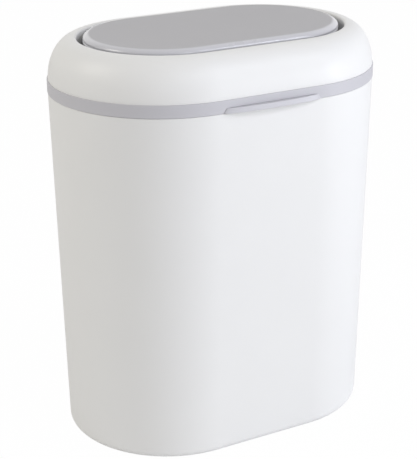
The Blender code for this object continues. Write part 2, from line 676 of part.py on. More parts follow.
def make_screws():
    """Every screw of the lid, the latch and the door."""
    for number, (x, y) in enumerate(lid_screw_places(), 1):
        make_screw(f"lid_screw_{number}", LID_BODY, x, y, FLANGE_LEVEL, SCREW_LONG)
    for number, (x, y) in enumerate(latch_screw_places(), 1):
        make_screw(f"latch_screw_{number}", LID_BODY, x, y, EAR_LEVEL, SCREW_SHORT)
    for number, (x, y) in enumerate(door_screw_places(), 1):
        make_screw(f"door_screw_{number}", DOOR_BODY, x, y, TRAY_LEVEL, SCREW_LONG)
    make_screw("striker_screw", DOOR_BODY, 0, STRIKER_SCREW_Y, TRAY_LEVEL, SCREW_SHORT)


def make_door_panel():
    """The grey door: a flat top with a rolled edge, a skirt, screw bosses and pivot bosses."""
    edge = (DOOR_RADIUS - DOOR_EDGE_RADIUS, DOOR_TOP - DOOR_EDGE_RADIUS)
    profile = [(0, DOOR_TOP)]
    profile += arc(edge, DOOR_EDGE_RADIUS, DOOR_EDGE_RADIUS, 90, 0, DOOR_EDGE_STEPS)
    profile += [(DOOR_RADIUS, SKIRT_LEVEL), (DOOR_RADIUS - DOOR_WALL, SKIRT_LEVEL)]
    profile += arc(edge, DOOR_EDGE_RADIUS - DOOR_WALL, DOOR_EDGE_RADIUS - DOOR_PLATE, 0, 90, DOOR_EDGE_STEPS)
    profile += [(0, DOOR_TOP - DOOR_PLATE)]
    door = oval("door_panel", profile, ring=False)
    boss_top = DOOR_TOP - DOOR_PLATE / 2
    fuse(door, upright_cylinders("door_bosses", door_screw_places(), SCREW_BOSS_RADIUS,
                                 TRAY_TOP + SEAT_GAP, boss_top))
    screw_tip = TRAY_LEVEL - SEAT_GAP + SCREW_LONG
    cut(door, upright_cylinders("door_boss_holes", door_screw_places(), SCREW_RADIUS + SCREW_PLAY,
                                TRAY_TOP, screw_tip + SCREW_TIP_ROOM))
    spans = [(side * DOOR_BOSS_START, side * DOOR_BOSS_END) for side in SIDES.values()]
    fuse(door, level_cylinders("door_pivot_bosses", spans, DOOR_AXIS, PIVOT_BOSS_RADIUS, PIVOT_SIDES))
    bore_start = DOOR_BOSS_START - OVERRUN
    bore_end = HALF_STRAIGHT + MOUTH_RADIUS
    bores = [(side * bore_start, side * bore_end) for side in SIDES.values()]
    bore = PIVOT_PIN_RADIUS + PIVOT_PLAY
    cut(door, level_cylinders("door_pivot_bores", bores, DOOR_AXIS, bore, PIVOT_SIDES))
    place(door, DOOR_BODY, DOOR_GREY)


def make_door_tray():
    """The tray that closes the door from below and presses on the seal."""
    wall_top = TRAY_LEVEL + TRAY_HEIGHT
    inner = TRAY_RADIUS - TRAY_WALL
    profile = [(0, TRAY_LEVEL), (TRAY_RADIUS - TRAY_CHAMFER, TRAY_LEVEL)]
    profile += [(TRAY_RADIUS, TRAY_LEVEL + TRAY_CHAMFER), (TRAY_RADIUS, wall_top)]
    profile += [(inner, wall_top), (inner, TRAY_TOP), (0, TRAY_TOP)]
    tray = oval("door_tray", profile, ring=False)
    holes = door_screw_places() + [(0, STRIKER_SCREW_Y)]
    cut(tray, upright_cylinders("tray_screw_holes", holes, SCREW_RADIUS + SCREW_PLAY,
                                TRAY_LEVEL - OVERRUN, TRAY_TOP + OVERRUN))
    _, back, half = striker_limits()
    notch = half + STRIKER_PLAY
    cut(tray, boxes("tray_notch", [((-notch, -DOOR_RADIUS, TRAY_LEVEL - OVERRUN),
                                    (notch, back + STRIKER_PLAY, wall_top + OVERRUN))]))
    place(tray, DOOR_BODY, INNER_GREY)


def make_striker():
    """The tongue that hangs from the door into the latch, on a foot screwed to the tray."""
    front, back, half = striker_limits()
    foot_level = TRAY_TOP + SEAT_GAP
    foot_top = foot_level + STRIKER_BASE
    foot_front = -TRAY_RADIUS + TRAY_WALL + STRIKER_PLAY
    foot_half = STRIKER_BASE_WIDTH / 2
    bm = bmesh.new()
    box_shape(bm, (-foot_half, foot_front, foot_level),
              (foot_half, foot_front + STRIKER_BASE_LENGTH, foot_top))
    striker = mesh_object("door_striker", bm)
    fuse(striker, boxes("striker_tongue", [((-half, front, STRIKER_LEVEL), (half, back, foot_top))]))
    centre = [(0, STRIKER_SCREW_Y)]
    fuse(striker, upright_cylinders("striker_boss", centre, STRIKER_BOSS_RADIUS,
                                    foot_level + STRIKER_BASE / 2, foot_level + STRIKER_BOSS_HEIGHT))
    cut(striker, upright_cylinders("striker_hole", centre, SCREW_RADIUS + SCREW_PLAY,
                                   foot_level - OVERRUN, foot_level + STRIKER_BOSS_HEIGHT + OVERRUN))
    place(striker, DOOR_BODY, INNER_GREY)


def make_pivot_pins():
    """The two short pins that the door turns on, pushed out into the frame from inside the door."""
    head_start = DOOR_BOSS_START - SEAT_GAP - PIVOT_HEAD
    length = pivot_pin_end() - head_start
    profile = [(0, length), (PIVOT_PIN_RADIUS, length), (PIVOT_PIN_RADIUS, PIVOT_HEAD)]
    profile += [(PIVOT_HEAD_RADIUS, PIVOT_HEAD), (PIVOT_HEAD_RADIUS, 0), (0, 0)]
    for name, side in SIDES.items():
        pin = turned(f"door_pivot_pin_{name}", profile, PIVOT_SIDES)
        pin.rotation_euler = (0, side * radians(90), 0)
        place(pin, LID_BODY, STEEL, DOOR_AXIS + Vector((side * head_start, 0, 0)))


def make_latch():
    """The latch under the ledge: a pocket with ears, and the plunger and spring inside it."""
    pocket_x = PLUNGER_WIDTH / 2 + SEAT_GAP
    pocket_y = PLUNGER_DEPTH / 2 + SEAT_GAP
    wall_x = pocket_x + LATCH_WALL
    wall_y = pocket_y + LATCH_WALL
    bm = bmesh.new()
    box_shape(bm, (-wall_x, -LATCH_CENTRE - wall_y, LATCH_LEVEL),
              (wall_x, -LATCH_CENTRE + wall_y, LATCH_TOP))
    housing = mesh_object("latch_housing", bm)
    ear = LATCH_EAR_DEPTH / 2
    fuse(housing, boxes("latch_ears", [((-LATCH_EAR_REACH, -LATCH_CENTRE - ear, EAR_LEVEL),
                                        (LATCH_EAR_REACH, -LATCH_CENTRE + ear, EAR_TOP))]))
    cut(housing, boxes("latch_pocket", [((-pocket_x, -LATCH_CENTRE - pocket_y, LATCH_FLOOR),
                                         (pocket_x, -LATCH_CENTRE + pocket_y, LATCH_TOP + OVERRUN))]))
    cut(housing, upright_cylinders("ear_holes", latch_screw_places(), SCREW_RADIUS + SCREW_PLAY,
                                   EAR_LEVEL - OVERRUN, EAR_TOP + OVERRUN))
    place(housing, LID_BODY, INNER_GREY)
    make_plunger()
    make_spring()


def make_plunger():
    """The block that the striker presses, with a spigot that keeps the spring upright."""
    half_x = PLUNGER_WIDTH / 2
    half_y = PLUNGER_DEPTH / 2
    bm = bmesh.new()
    box_shape(bm, (-half_x, -LATCH_CENTRE - half_y, PLUNGER_LEVEL),
              (half_x, -LATCH_CENTRE + half_y, PLUNGER_TOP))
    plunger = mesh_object("latch_plunger", bm)
    fuse(plunger, upright_cylinders("plunger_spigot", [(0, -LATCH_CENTRE)], PLUNGER_SPIGOT_RADIUS,
                                    PLUNGER_LEVEL - PLUNGER_SPIGOT, PLUNGER_LEVEL + OVERRUN))
    place(plunger, PLUNGER_BODY, WHITE)


def make_spring():
    """The coil spring between the pocket's floor and the plunger."""
    bottom = LATCH_FLOOR + SEAT_GAP + SPRING_WIRE_RADIUS
    rise = PLUNGER_LEVEL - SEAT_GAP - SPRING_WIRE_RADIUS - bottom
    count = SPRING_TURNS * SPRING_POINTS_A_TURN
    curve = bpy.data.curves.new("latch_spring", "CURVE")
    curve.dimensions = "3D"
    curve.bevel_depth = SPRING_WIRE_RADIUS
    curve.bevel_resolution = 2
    curve.use_fill_caps = True
    wire = curve.splines.new("POLY")
    wire.points.add(count)
    for number, point in enumerate(wire.points):
        turn = 2 * pi * number / SPRING_POINTS_A_TURN
        height = bottom + rise * number / count
        point.co = (SPRING_RADIUS * cos(turn), SPRING_RADIUS * sin(turn), height, 1)
    spring = bpy.data.objects.new("latch_spring", curve)
    place(spring, LID_BODY, STEEL, Vector((0, -LATCH_CENTRE, 0)))


make_tub()
make_foot_pads()
make_bag_ring()
make_hinge_pin()
make_rim_band()
make_lid_frame()
make_lid_base()
make_seals()
make_latch()
make_pivot_pins()
make_door_panel()
make_door_tray()
make_striker()
make_screws()
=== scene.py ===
"""The looks of an oval nappy bin: its mouldings, fittings and finishes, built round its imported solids.

Metres, +Z up. The bin's front faces -Y, its length runs along X, and the origin is the middle of
the surface that it stands on. Every level outline is a straight-sided oval: two half rounds whose
centres lie HALF_STRAIGHT to the left and right, so a radius alone says where a wall is.
"""

import json
from math import cos, pi, radians, sin, sqrt, tan

import bmesh
import bpy
from mathutils import Matrix, Vector


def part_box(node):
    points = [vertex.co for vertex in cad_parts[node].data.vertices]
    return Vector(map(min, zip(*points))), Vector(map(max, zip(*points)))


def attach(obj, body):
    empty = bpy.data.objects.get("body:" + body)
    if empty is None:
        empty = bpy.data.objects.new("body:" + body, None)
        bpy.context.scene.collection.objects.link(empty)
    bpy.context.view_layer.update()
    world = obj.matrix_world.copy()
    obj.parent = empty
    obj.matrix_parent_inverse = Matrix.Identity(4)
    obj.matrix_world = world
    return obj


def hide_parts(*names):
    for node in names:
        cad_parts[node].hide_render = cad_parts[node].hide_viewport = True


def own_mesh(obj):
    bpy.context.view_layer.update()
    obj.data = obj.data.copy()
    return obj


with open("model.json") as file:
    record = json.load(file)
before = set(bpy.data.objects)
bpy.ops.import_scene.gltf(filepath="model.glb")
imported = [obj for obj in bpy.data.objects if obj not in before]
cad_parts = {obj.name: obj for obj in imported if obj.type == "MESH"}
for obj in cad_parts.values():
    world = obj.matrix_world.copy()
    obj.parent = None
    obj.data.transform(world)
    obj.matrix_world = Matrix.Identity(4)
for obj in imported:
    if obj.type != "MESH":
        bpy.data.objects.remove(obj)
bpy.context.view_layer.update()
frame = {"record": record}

# Whole bin: pieces stand a seat gap off what carries them, and cutters overrun what they cut
HALF_STRAIGHT = 0.0570
SEAT_GAP = 0.0003
OVERRUN = 0.0010
MERGE_DISTANCE = 0.00001
FINE_EDGE = 0.0004
SOFT_EDGE = 0.0008
ROUND_STEPS = 48
ROLL_STEPS = 12
SEAL_STEPS = 6
EDGE_STEPS = 4
SHARP_ANGLE = radians(34)

# Tub
TUB_TOP_RADIUS = 0.1170
TUB_TAPER = 0.0078
TUB_HEIGHT = 0.3673
TUB_WALL = 0.0030
TUB_FLOOR = 0.0028
NECK_WALL = 0.0014
NECK_RISE = 0.0062
FOOT_EDGE_RADIUS = 0.0080
FOOT_RING_WIDTH = 0.0110
FOOT_RING_SLOPE = 0.0020
UNDERSIDE_RECESS = 0.0030
SHOULDER_EDGE = 0.0005

# Foot pads
PAD_RADIUS = 0.0045
PAD_STAND = 0.0010
PAD_SUNK = 0.0012
PAD_ANGLE = radians(45)
PAD_GROOVE = 0.0005
PAD_GROOVE_SHARES = (0.78, 0.44)
PAD_SIDES = 48

# Bag ring
BAG_RING_WALL = 0.0023
BAG_RING_PLAY = 0.0007
BAG_RING_SKIRT = 0.0128
BAG_RING_FLANGE = 0.0018
BAG_RING_SETBACK = 0.0003

# Rim band
BAND_OVERHANG = 0.0005
BAND_LAP_PLAY = 0.0004
BAND_FLANGE = 0.0021
BAND_EDGE = 0.0003

# Finger lip: its ends slant a number of times more than its front
LIP_LENGTH = 0.1100
LIP_REACH = 0.0070
LIP_HEIGHT = 0.0054
LIP_WALL = 0.0022
LIP_EDGE = 0.0008
LIP_SLANT = 0.0021
LIP_END_TIMES = 1.7
LIP_LEDGE_DROP = 0.0004
LIP_SLIT_HALF = 0.0470
LIP_SLIT_HEIGHT = 0.00015
LIP_SLIT_SINK = 0.00005
LIP_SLIT_DEPTH = 0.0004
LIP_STEPS = 72

# Lid frame: a seam shows between its dome and the rim band
DOME_INSET = 0.0011
DOME_SEAM = 0.00005
DOME_REACH = 0.0276
DOME_RISE = 0.0406
DOME_WALL = 0.0022
DOME_STEPS = 28
MOUTH_EDGE_RADIUS = 0.0022
MOUTH_DEPTH = 0.0197

# Lid base
BASE_PLATE = 0.0020
BASE_EDGE_PLAY = 0.0005
BASE_RISER_WALL = 0.0020
BASE_RISER_SETBACK = 0.0010
THROAT_DEPTH = 0.0140
THROAT_WALL = 0.0020
BASE_RIB_THICKNESS = 0.0012
BASE_RIB_HEIGHT = 0.0080
END_RIB_ANGLES = (-60, -30, 0, 30, 60)
SIDE_RIB_SHARES = (-1, -0.5, 0.5, 1)

# Seals
DOOR_SEAL_INSET = 0.0015
DOOR_SEAL_WIDTH = 0.0050
DOOR_SEAL_HEIGHT = 0.0023
RIM_SEAL_WIDTH = 0.0040
RIM_SEAL_PLAY = 0.0010
RIM_SEAL_HEIGHT = 0.0018

# Door: a shadow line is cut in under its roll
DOOR_SIDE_GAP = 0.0063
DOOR_RISE = 0.0030
DOOR_EDGE_RADIUS = 0.0050
DOOR_ROLL_REACH = 0.0082
DOOR_LINE_HEIGHT = 0.0015
DOOR_LINE_DEPTH = 0.0007
DOOR_LINE_SLOPE = 0.0001
DOOR_WALL = 0.0012
DOOR_PLATE = 0.0022
DOOR_SKIRT = 0.0175
TRAY_PLAY = 0.0005
TRAY_PLATE = 0.0020
TRAY_WALL = 0.0018
TRAY_HEIGHT = 0.0061
TRAY_CHAMFER = 0.0012
TRAY_SEAL_GAP = 0.0003
TRAY_GROOVES = (0.024, 0.040)
TRAY_GROOVE_WIDTH = 0.0022
TRAY_GROOVE_DEPTH = 0.0006

# Door pivots
PIVOT_WALL_GAP = 0.0008
PIVOT_BELOW_CREST = 0.0032
PIVOT_PIN_RADIUS = 0.00125
PIVOT_BOSS_RADIUS = 0.0027
PIVOT_PLAY = 0.0003
PIVOT_HEAD_RADIUS = 0.0023
PIVOT_HEAD = 0.0015
DOOR_BOSS_LENGTH = 0.0180
DOOR_BOSS_SINK = 0.0010
FRAME_BOSS_OFFSET = 0.0007
FRAME_BOSS_LENGTH = 0.0070
PIVOT_SIDES = 40

# Lid hinge
HINGE_KNUCKLE_RADIUS = 0.00335
HINGE_PIN_RADIUS = 0.0016
HINGE_PLAY = 0.0003
HINGE_BAND_GAP = 0.00035
HINGE_LENGTH = 0.1000
HINGE_SIDE_GAP = 0.0005
HINGE_OUTER_KNUCKLE = 0.0140
HINGE_MIDDLE_KNUCKLE = 0.0180
HINGE_WEB_OFFSET = 0.0006
HINGE_WEB_INSET = 0.0004
HINGE_SIDES = 48

# Screws
SCREW_RADIUS = 0.0013
SCREW_PLAY = 0.0003
SCREW_HEAD_RADIUS = 0.0030
SCREW_HEAD = 0.0017
SCREW_HEAD_ROUND = 0.0010
SCREW_LONG = 0.0120
SCREW_SHORT = 0.0080
SCREW_TIP_ROOM = 0.0006
SCREW_TIP = 0.0016
SCREW_PITCH = 0.0009
SCREW_THREAD = 0.0003
SCREW_CROSS_LENGTH = 0.0034
SCREW_CROSS_WIDTH = 0.0008
SCREW_CROSS_DEPTH = 0.0011
SCREW_TURN = 37
SCREW_BOSS_RADIUS = 0.0036
SMALL_BOSS_RADIUS = 0.0030
SCREW_SIDES = 36
LID_SCREW_INSET = 0.0050
LID_SCREW_SEAL_GAP = 0.0018
LID_SCREW_OFFSET_SHARE = 0.70
DOOR_SCREW_INSET = 0.0144
DOOR_SCREW_ANGLE = radians(70)

# Latch
STRIKER_SKIRT_GAP = 0.0007
SLOT_LAND = 0.0010
STRIKER_WIDTH = 0.0080
STRIKER_THICKNESS = 0.0028
STRIKER_DROP = 0.0060
STRIKER_PLAY = 0.0006
STRIKER_SWING_ROOM = 0.0027
STRIKER_BASE_WIDTH = 0.0140
STRIKER_BASE_LENGTH = 0.0210
STRIKER_BASE = 0.0015
STRIKER_BOSS_HEIGHT = 0.0058
STRIKER_SCREW_SETBACK = 0.0170
PLUNGER_WIDTH = 0.0100
PLUNGER_DEPTH = 0.0074
PLUNGER_HEIGHT = 0.0060
PLUNGER_SPIGOT_RADIUS = 0.0015
PLUNGER_SPIGOT = 0.0020
PLUNGER_TRAVEL = 0.0030
LATCH_WALL = 0.0017
LATCH_HEIGHT = 0.0190
LATCH_EAR_REACH = 0.0175
LATCH_EAR_DEPTH = 0.0070
LATCH_EAR = 0.0023
LATCH_EAR_DROP = 0.0067
LATCH_SCREW_OFFSET = 0.0140
LATCH_WINDOW_WIDTH = 0.0036
LATCH_WINDOW_HEIGHT = 0.0070
SPRING_RADIUS = 0.0026
SPRING_WIRE_RADIUS = 0.00035
SPRING_TURNS = 4
SPRING_POINTS_A_TURN = 24
SPRING_SIDES = 10

# Levels, from the ground up
FOOT_LEVEL = PAD_STAND
SHOULDER_LEVEL = FOOT_LEVEL + TUB_HEIGHT
NECK_LEVEL = SHOULDER_LEVEL + NECK_RISE
BAG_RING_LEVEL = NECK_LEVEL + SEAT_GAP + BAG_RING_FLANGE
BAND_LEVEL = SHOULDER_LEVEL + SEAT_GAP
RIM_SEAL_LEVEL = BAG_RING_LEVEL + SEAT_GAP
RIM_SEAL_TOP = RIM_SEAL_LEVEL + RIM_SEAL_HEIGHT
FLANGE_LEVEL = RIM_SEAL_TOP + SEAT_GAP
BAND_TOP = FLANGE_LEVEL + BAND_FLANGE
DOME_LEVEL = BAND_TOP + SEAT_GAP
DOME_TOP = DOME_LEVEL + DOME_RISE
MOUTH_LEVEL = DOME_TOP - MOUTH_DEPTH
LEDGE_TOP = MOUTH_LEVEL - SEAT_GAP
LEDGE_LEVEL = LEDGE_TOP - BASE_PLATE
PLATE_TOP = DOME_LEVEL + BASE_PLATE
DOOR_SEAL_TOP = MOUTH_LEVEL + DOOR_SEAL_HEIGHT
TRAY_LEVEL = DOOR_SEAL_TOP + TRAY_SEAL_GAP
TRAY_TOP = TRAY_LEVEL + TRAY_PLATE
DOOR_TOP = DOME_TOP + DOOR_RISE
SKIRT_LEVEL = DOOR_TOP - DOOR_SKIRT
PIVOT_LEVEL = DOME_TOP - PIVOT_BELOW_CREST
HINGE_LEVEL = SHOULDER_LEVEL + SEAT_GAP / 2
LATCH_TOP = LEDGE_LEVEL - SEAT_GAP
LATCH_LEVEL = LATCH_TOP - LATCH_HEIGHT
LATCH_FLOOR = LATCH_LEVEL + LATCH_WALL
EAR_TOP = LATCH_TOP - LATCH_EAR_DROP
EAR_LEVEL = EAR_TOP - LATCH_EAR
STRIKER_LEVEL = LEDGE_TOP - STRIKER_DROP
PLUNGER_TOP = STRIKER_LEVEL - SEAT_GAP
PLUNGER_LEVEL = PLUNGER_TOP - PLUNGER_HEIGHT


def axis_reach(radius):
    """How far out along X the door's pivot axis meets an oval wall of a radius."""
    return HALF_STRAIGHT + sqrt(radius ** 2 - PIVOT_BEHIND ** 2)


# Radii, from the outside in
TUB_BASE_RADIUS = TUB_TOP_RADIUS - TUB_TAPER
NECK_INNER = TUB_TOP_RADIUS - TUB_WALL
NECK_OUTER = NECK_INNER + NECK_WALL
BAND_RADIUS = TUB_TOP_RADIUS + BAND_OVERHANG
LAP_RADIUS = NECK_OUTER + BAND_LAP_PLAY
RIM_SEAL_RADIUS = LAP_RADIUS - RIM_SEAL_PLAY - RIM_SEAL_WIDTH
LID_SCREW_RADIUS = RIM_SEAL_RADIUS - LID_SCREW_SEAL_GAP - SCREW_HEAD_RADIUS
FLANGE_RADIUS = LID_SCREW_RADIUS - LID_SCREW_INSET
DOME_RADIUS = BAND_RADIUS - DOME_INSET
CREST_RADIUS = DOME_RADIUS - DOME_REACH
MOUTH_RADIUS = CREST_RADIUS - MOUTH_EDGE_RADIUS
BASE_EDGE_RADIUS = DOME_RADIUS - DOME_WALL - BASE_EDGE_PLAY
RISER_RADIUS = MOUTH_RADIUS + DOME_WALL + BASE_RISER_SETBACK
DOOR_RADIUS = MOUTH_RADIUS - DOOR_SIDE_GAP
TRAY_RADIUS = DOOR_RADIUS - DOOR_WALL - TRAY_PLAY
LATCH_CENTRE = DOOR_RADIUS - DOOR_WALL - STRIKER_SKIRT_GAP - STRIKER_THICKNESS / 2
DOOR_SEAL_RADIUS = LATCH_CENTRE - STRIKER_THICKNESS / 2 - STRIKER_PLAY - SLOT_LAND
STRIKER_SCREW_Y = -LATCH_CENTRE + STRIKER_SCREW_SETBACK
THROAT_RADIUS = DOOR_SEAL_RADIUS - DOOR_SEAL_WIDTH - DOOR_SEAL_INSET
PIVOT_BEHIND = DOOR_RADIUS - DOOR_WALL - PIVOT_WALL_GAP - PIVOT_HEAD_RADIUS
DOOR_BOSS_END = axis_reach(DOOR_RADIUS - DOOR_WALL) + DOOR_BOSS_SINK
DOOR_BOSS_START = DOOR_BOSS_END - DOOR_BOSS_LENGTH
FRAME_BOSS_START = axis_reach(MOUTH_RADIUS) + FRAME_BOSS_OFFSET
FRAME_BOSS_END = FRAME_BOSS_START + FRAME_BOSS_LENGTH
PIVOT_PIN_END = FRAME_BOSS_END - PIVOT_HEAD
HINGE_BEHIND = BAND_RADIUS + HINGE_BAND_GAP + HINGE_KNUCKLE_RADIUS

# Joint axes
LID_AXIS = Vector((0, HINGE_BEHIND, HINGE_LEVEL))
DOOR_AXIS = Vector((0, PIVOT_BEHIND, PIVOT_LEVEL))

# Finishes: a noise is its patches a metre and its detail, and a spread is how far it moves a value
WHITE = (0.80, 0.80, 0.79)
BAND_GREY = (0.535, 0.53, 0.56)
DOOR_GREY = (0.425, 0.42, 0.435)
# Paler grey painted on the door's rolled edge: a painted highlight along the roll
DOOR_ROLL_PAINTED_HIGHLIGHT_GREY = (0.55, 0.55, 0.585)
INNER_GREY = (0.16, 0.16, 0.165)
SEAL_GREY = (0.22, 0.22, 0.23)
FOOT_BLACK = (0.06, 0.06, 0.06)
STEEL = (0.62, 0.62, 0.63)
CLOUDS = (14.0, 3.0)
GRAIN = (1500.0, 2.0)
MOULD_WAVES = (90.0, 1.0)
WAVE_SHARE = 1.5
SHEEN_PATCHES = (55.0, 3.0)
SHEEN_SPREAD = 0.04
SCUFFS = (260.0, 6.0)
SCUFF_SPREAD = 0.16
SCUFF_HEIGHT = 0.03
DOOR_FLAT_SPAN = (0.90, 0.99)
DOOR_CLOUD_SHARE = 0.03
DOOR_WAVE_SHARE = 1.2
DOOR_EDGE_GRAIN = 0.25
DOOR_PATCHES = (55.0, 5.0)
DOOR_SPREAD = 0.05
DOOR_COAT = 0.8
DOOR_COAT_ROUGHNESS = 0.16
PRESS_MARKS = (60.0, 3.0)
PRESS_SPREAD = 0.03
PRESS_SPAN = (0.005, 0.045)
BLOOM = (120.0, 6.0)
BLOOM_SPAN = (0.35, 0.8)
BLOOM_TONES = (-0.06, 0.18)
BLOOM_SPREAD = 0.14
RUBBER_ROUGHNESS = 0.66
RUBBER_GRAIN = (2200.0, 2.0)
STEEL_PATCHES = (420.0, 4.0)
STEEL_TONES = (-0.10, 0.06)
STEEL_SPREAD = 0.16
STEEL_ROUGHNESS = 0.22
TURNING_MARKS = 900.0
TURNING_WAVER = 1.5
TURNING_DEPTH = 0.000004

# Photograph: its size, focal length and optical middle in pixels, and where the camera stood
PHOTO_WIDTH = 417
PHOTO_HEIGHT = 459
PHOTO_FOCAL = 1367.51
PHOTO_RIGHT = 5.358
PHOTO_DOWN = 2.286
SENSOR = 36
CAMERA_AZIMUTH = radians(-29.423)
CAMERA_ELEVATION = radians(20.977)
CAMERA_DISTANCE = 1.470853
CAMERA_AIM = Vector((0, 0, 0.200))
CAMERA_ROLL = radians(-0.327)

# Studio: each lamp is its azimuth, elevation, power, colour and size
FLOOR_RADIUS = 14
FLOOR_SIDES = 96
FLOOR_MOTTLE = (3.0, 3.0)
FLOOR_TONES = (0.90, 0.92)
FLOOR_WHITE = 0.985
ROOM_LIGHT = 0.50
ROOM_COLOUR = (0.995, 0.975, 0.957)
SIDE_COLOUR = (1.0, 0.977, 0.900)
FRONT_COLOUR = (0.903, 0.925, 1.0)
KEY_COLOUR = (0.873, 0.908, 1.0)
LAMP_DISTANCE = 2.4
LAMPS = {
    "key_lamp": (45, 8, 19.0, KEY_COLOUR, 0.8),
    "front_lamp": (6, 38, 7.5, FRONT_COLOUR, 0.8),
    "side_lamp": (-110, 38, 13.0, SIDE_COLOUR, 0.8),
    "edge_lamp": (40, 40, 9.5, KEY_COLOUR, 0.5),
}


def heading(azimuth, elevation):
    """The direction from the bin towards a camera or a lamp. Azimuth 0 is in front of the bin."""
    level = cos(elevation)
    return Vector((sin(azimuth) * level, -cos(azimuth) * level, sin(elevation)))


def aimed(thing, direction, distance, aim, roll=0):
    """Stand a camera or a lamp off from a point and turn it to that point."""
    place = Matrix.Translation(aim + direction * distance)
    turn = direction.to_track_quat("Z", "Y").to_matrix().to_4x4()
    thing.matrix_world = place @ turn @ Matrix.Rotation(roll, 4, "Z")
    bpy.context.scene.collection.objects.link(thing)


def make_camera():
    """The camera where the photograph was taken from."""
    lens = bpy.data.cameras.new("camera")
    longer = max(PHOTO_WIDTH, PHOTO_HEIGHT)
    lens.sensor_width = SENSOR
    lens.lens = PHOTO_FOCAL * SENSOR / longer
    lens.shift_x = -PHOTO_RIGHT / longer
    lens.shift_y = PHOTO_DOWN / longer
    camera = bpy.data.objects.new("camera", lens)
    direction = heading(CAMERA_AZIMUTH, CAMERA_ELEVATION)
    aimed(camera, direction, CAMERA_DISTANCE, CAMERA_AIM, CAMERA_ROLL)
    bpy.context.scene.camera = camera


class Wire:
    """A socket's value, so that the maths on it reads as a sum."""

    def __init__(self, net, socket):
        self.net = net
        self.socket = socket

    def maths(self, operation, first, second):
        """A Math node on two values."""
        return self.net.node("ShaderNodeMath", {"operation": operation}, {0: first, 1: second})

    def __add__(self, other):
        return self.maths("ADD", self, other)

    def __radd__(self, other):
        return self.maths("ADD", other, self)

    def __sub__(self, other):
        return self.maths("SUBTRACT", self, other)

    def __rsub__(self, other):
        return self.maths("SUBTRACT", other, self)

    def __mul__(self, other):
        return self.maths("MULTIPLY", self, other)

    def __rmul__(self, other):
        return self.maths("MULTIPLY", other, self)


class Net:
    """The nodes of one material, or of the world."""

    def __init__(self, owner):
        owner.use_nodes = True
        self.owner = owner
        self.tree = owner.node_tree
        self.tree.nodes.clear()

    def node(self, kind, settings=None, sockets=None, output=0):
        """Add a node: its settings first, then its sockets' values and links. Gives one output."""
        made = self.tree.nodes.new(kind)
        for name, value in (settings or {}).items():
            if name == "stops":
                for stop, (place, tone) in zip(made.color_ramp.elements, value):
                    stop.position = place
                    stop.color = (tone, tone, tone, 1)
            else:
                setattr(made, name, value)
        for name, value in (sockets or {}).items():
            if isinstance(value, Wire):
                self.tree.links.new(value.socket, made.inputs[name])
            else:
                made.inputs[name].default_value = value
        return Wire(self, made.outputs[output]) if made.outputs else made

    def place(self):
        """Where a point is, in metres in the piece's own frame."""
        return self.node("ShaderNodeTexCoord", output="Object")

    def height(self):
        """How high a point is, in metres in the piece's own frame."""
        return self.node("ShaderNodeSeparateXYZ", {}, {0: self.place()}, output="Z")

    def noise(self, scale, detail):
        """Cloudy noise from 0 to 1. The scale is in patches a metre."""
        sockets = {"Vector": self.place(), "Scale": scale, "Detail": detail}
        return self.node("ShaderNodeTexNoise", {"noise_dimensions": "3D"}, sockets)

    def ramp(self, value, low, high):
        """How far a value has gone from low to high, from 0 to 1."""
        return self.node("ShaderNodeValToRGB", {"stops": ((low, 0), (high, 1))}, {0: value})

    def blend(self, share, first, second):
        """A colour between two others, on the Mix node's colour sockets."""
        sockets = {0: share, 6: first, 7: second}
        return self.node("ShaderNodeMix", {"data_type": "RGBA"}, sockets, output=2)

    def bump(self, height, depth):
        """A normal from a height of 0 to 1 that stands for a depth in metres."""
        sockets = {"Height": height, "Strength": 1.0, "Distance": depth}
        return self.node("ShaderNodeBump", {}, sockets)

    def surface(self, sockets):
        """A Principled shader as the material's surface."""
        shader = self.node("ShaderNodeBsdfPrincipled", {}, sockets)
        self.node("ShaderNodeOutputMaterial", {}, {"Surface": shader})
        return self.owner


def grey(level):
    """A neutral colour."""
    return (level, level, level, 1)


def toned(colour, share):
    """A colour made lighter or darker by a share of itself."""
    return (*[min(1, level * (1 + share)) for level in colour], 1)


def moulded(name, colour, roughness, grain_depth, drift=0.015, scuffs=None, gloss=0.5):
    """Moulded plastic: a fine eroded grain, faint waves from the mould and a slow drift of tone."""
    net = Net(bpy.data.materials.new(name))
    tone = net.blend(net.noise(*CLOUDS), toned(colour, -drift), toned(colour, drift))
    sheen = roughness - SHEEN_SPREAD / 2 + SHEEN_SPREAD * net.noise(*SHEEN_PATCHES)
    if scuffs:
        sheen = sheen + scuffs(net)
    relief = net.noise(*GRAIN) + WAVE_SHARE * net.noise(*MOULD_WAVES)
    sockets = {"Base Color": tone, "Roughness": sheen, "Normal": net.bump(relief, grain_depth)}
    sockets["Specular IOR Level"] = gloss
    return net.surface(sockets)


def door_plastic(name, roughness, edge_roughness, grain_depth, gloss):
    """The door's plastic: a matt textured top inside a rolled edge painted paler as a painted highlight,
    with a smooth coat.
    """
    net = Net(bpy.data.materials.new(name))
    up_the_roll = (net.height() - (DOOR_TOP - DOOR_EDGE_RADIUS)) * (1 / DOOR_EDGE_RADIUS)
    flat = net.ramp(up_the_roll, *DOOR_FLAT_SPAN)
    # The rolled edge is painted paler than the top, as a painted highlight
    tone = net.blend(flat, (*DOOR_ROLL_PAINTED_HIGHLIGHT_GREY, 1), (*DOOR_GREY, 1))
    tone = net.blend(net.noise(*CLOUDS) * DOOR_CLOUD_SHARE, tone, grey(1.0))
    sheen = edge_roughness + DOOR_SPREAD * net.noise(*DOOR_PATCHES)
    sheen = sheen + flat * (roughness - edge_roughness) + press_polish(net)
    grain = net.noise(*GRAIN) * (DOOR_EDGE_GRAIN + (1 - DOOR_EDGE_GRAIN) * flat)
    relief = grain + DOOR_WAVE_SHARE * net.noise(*MOULD_WAVES)
    sockets = {"Base Color": tone, "Roughness": sheen, "Normal": net.bump(relief, grain_depth)}
    sockets["Specular IOR Level"] = gloss
    sockets["Coat Weight"] = (1 - flat) * DOOR_COAT
    sockets["Coat Roughness"] = DOOR_COAT_ROUGHNESS
    return net.surface(sockets)


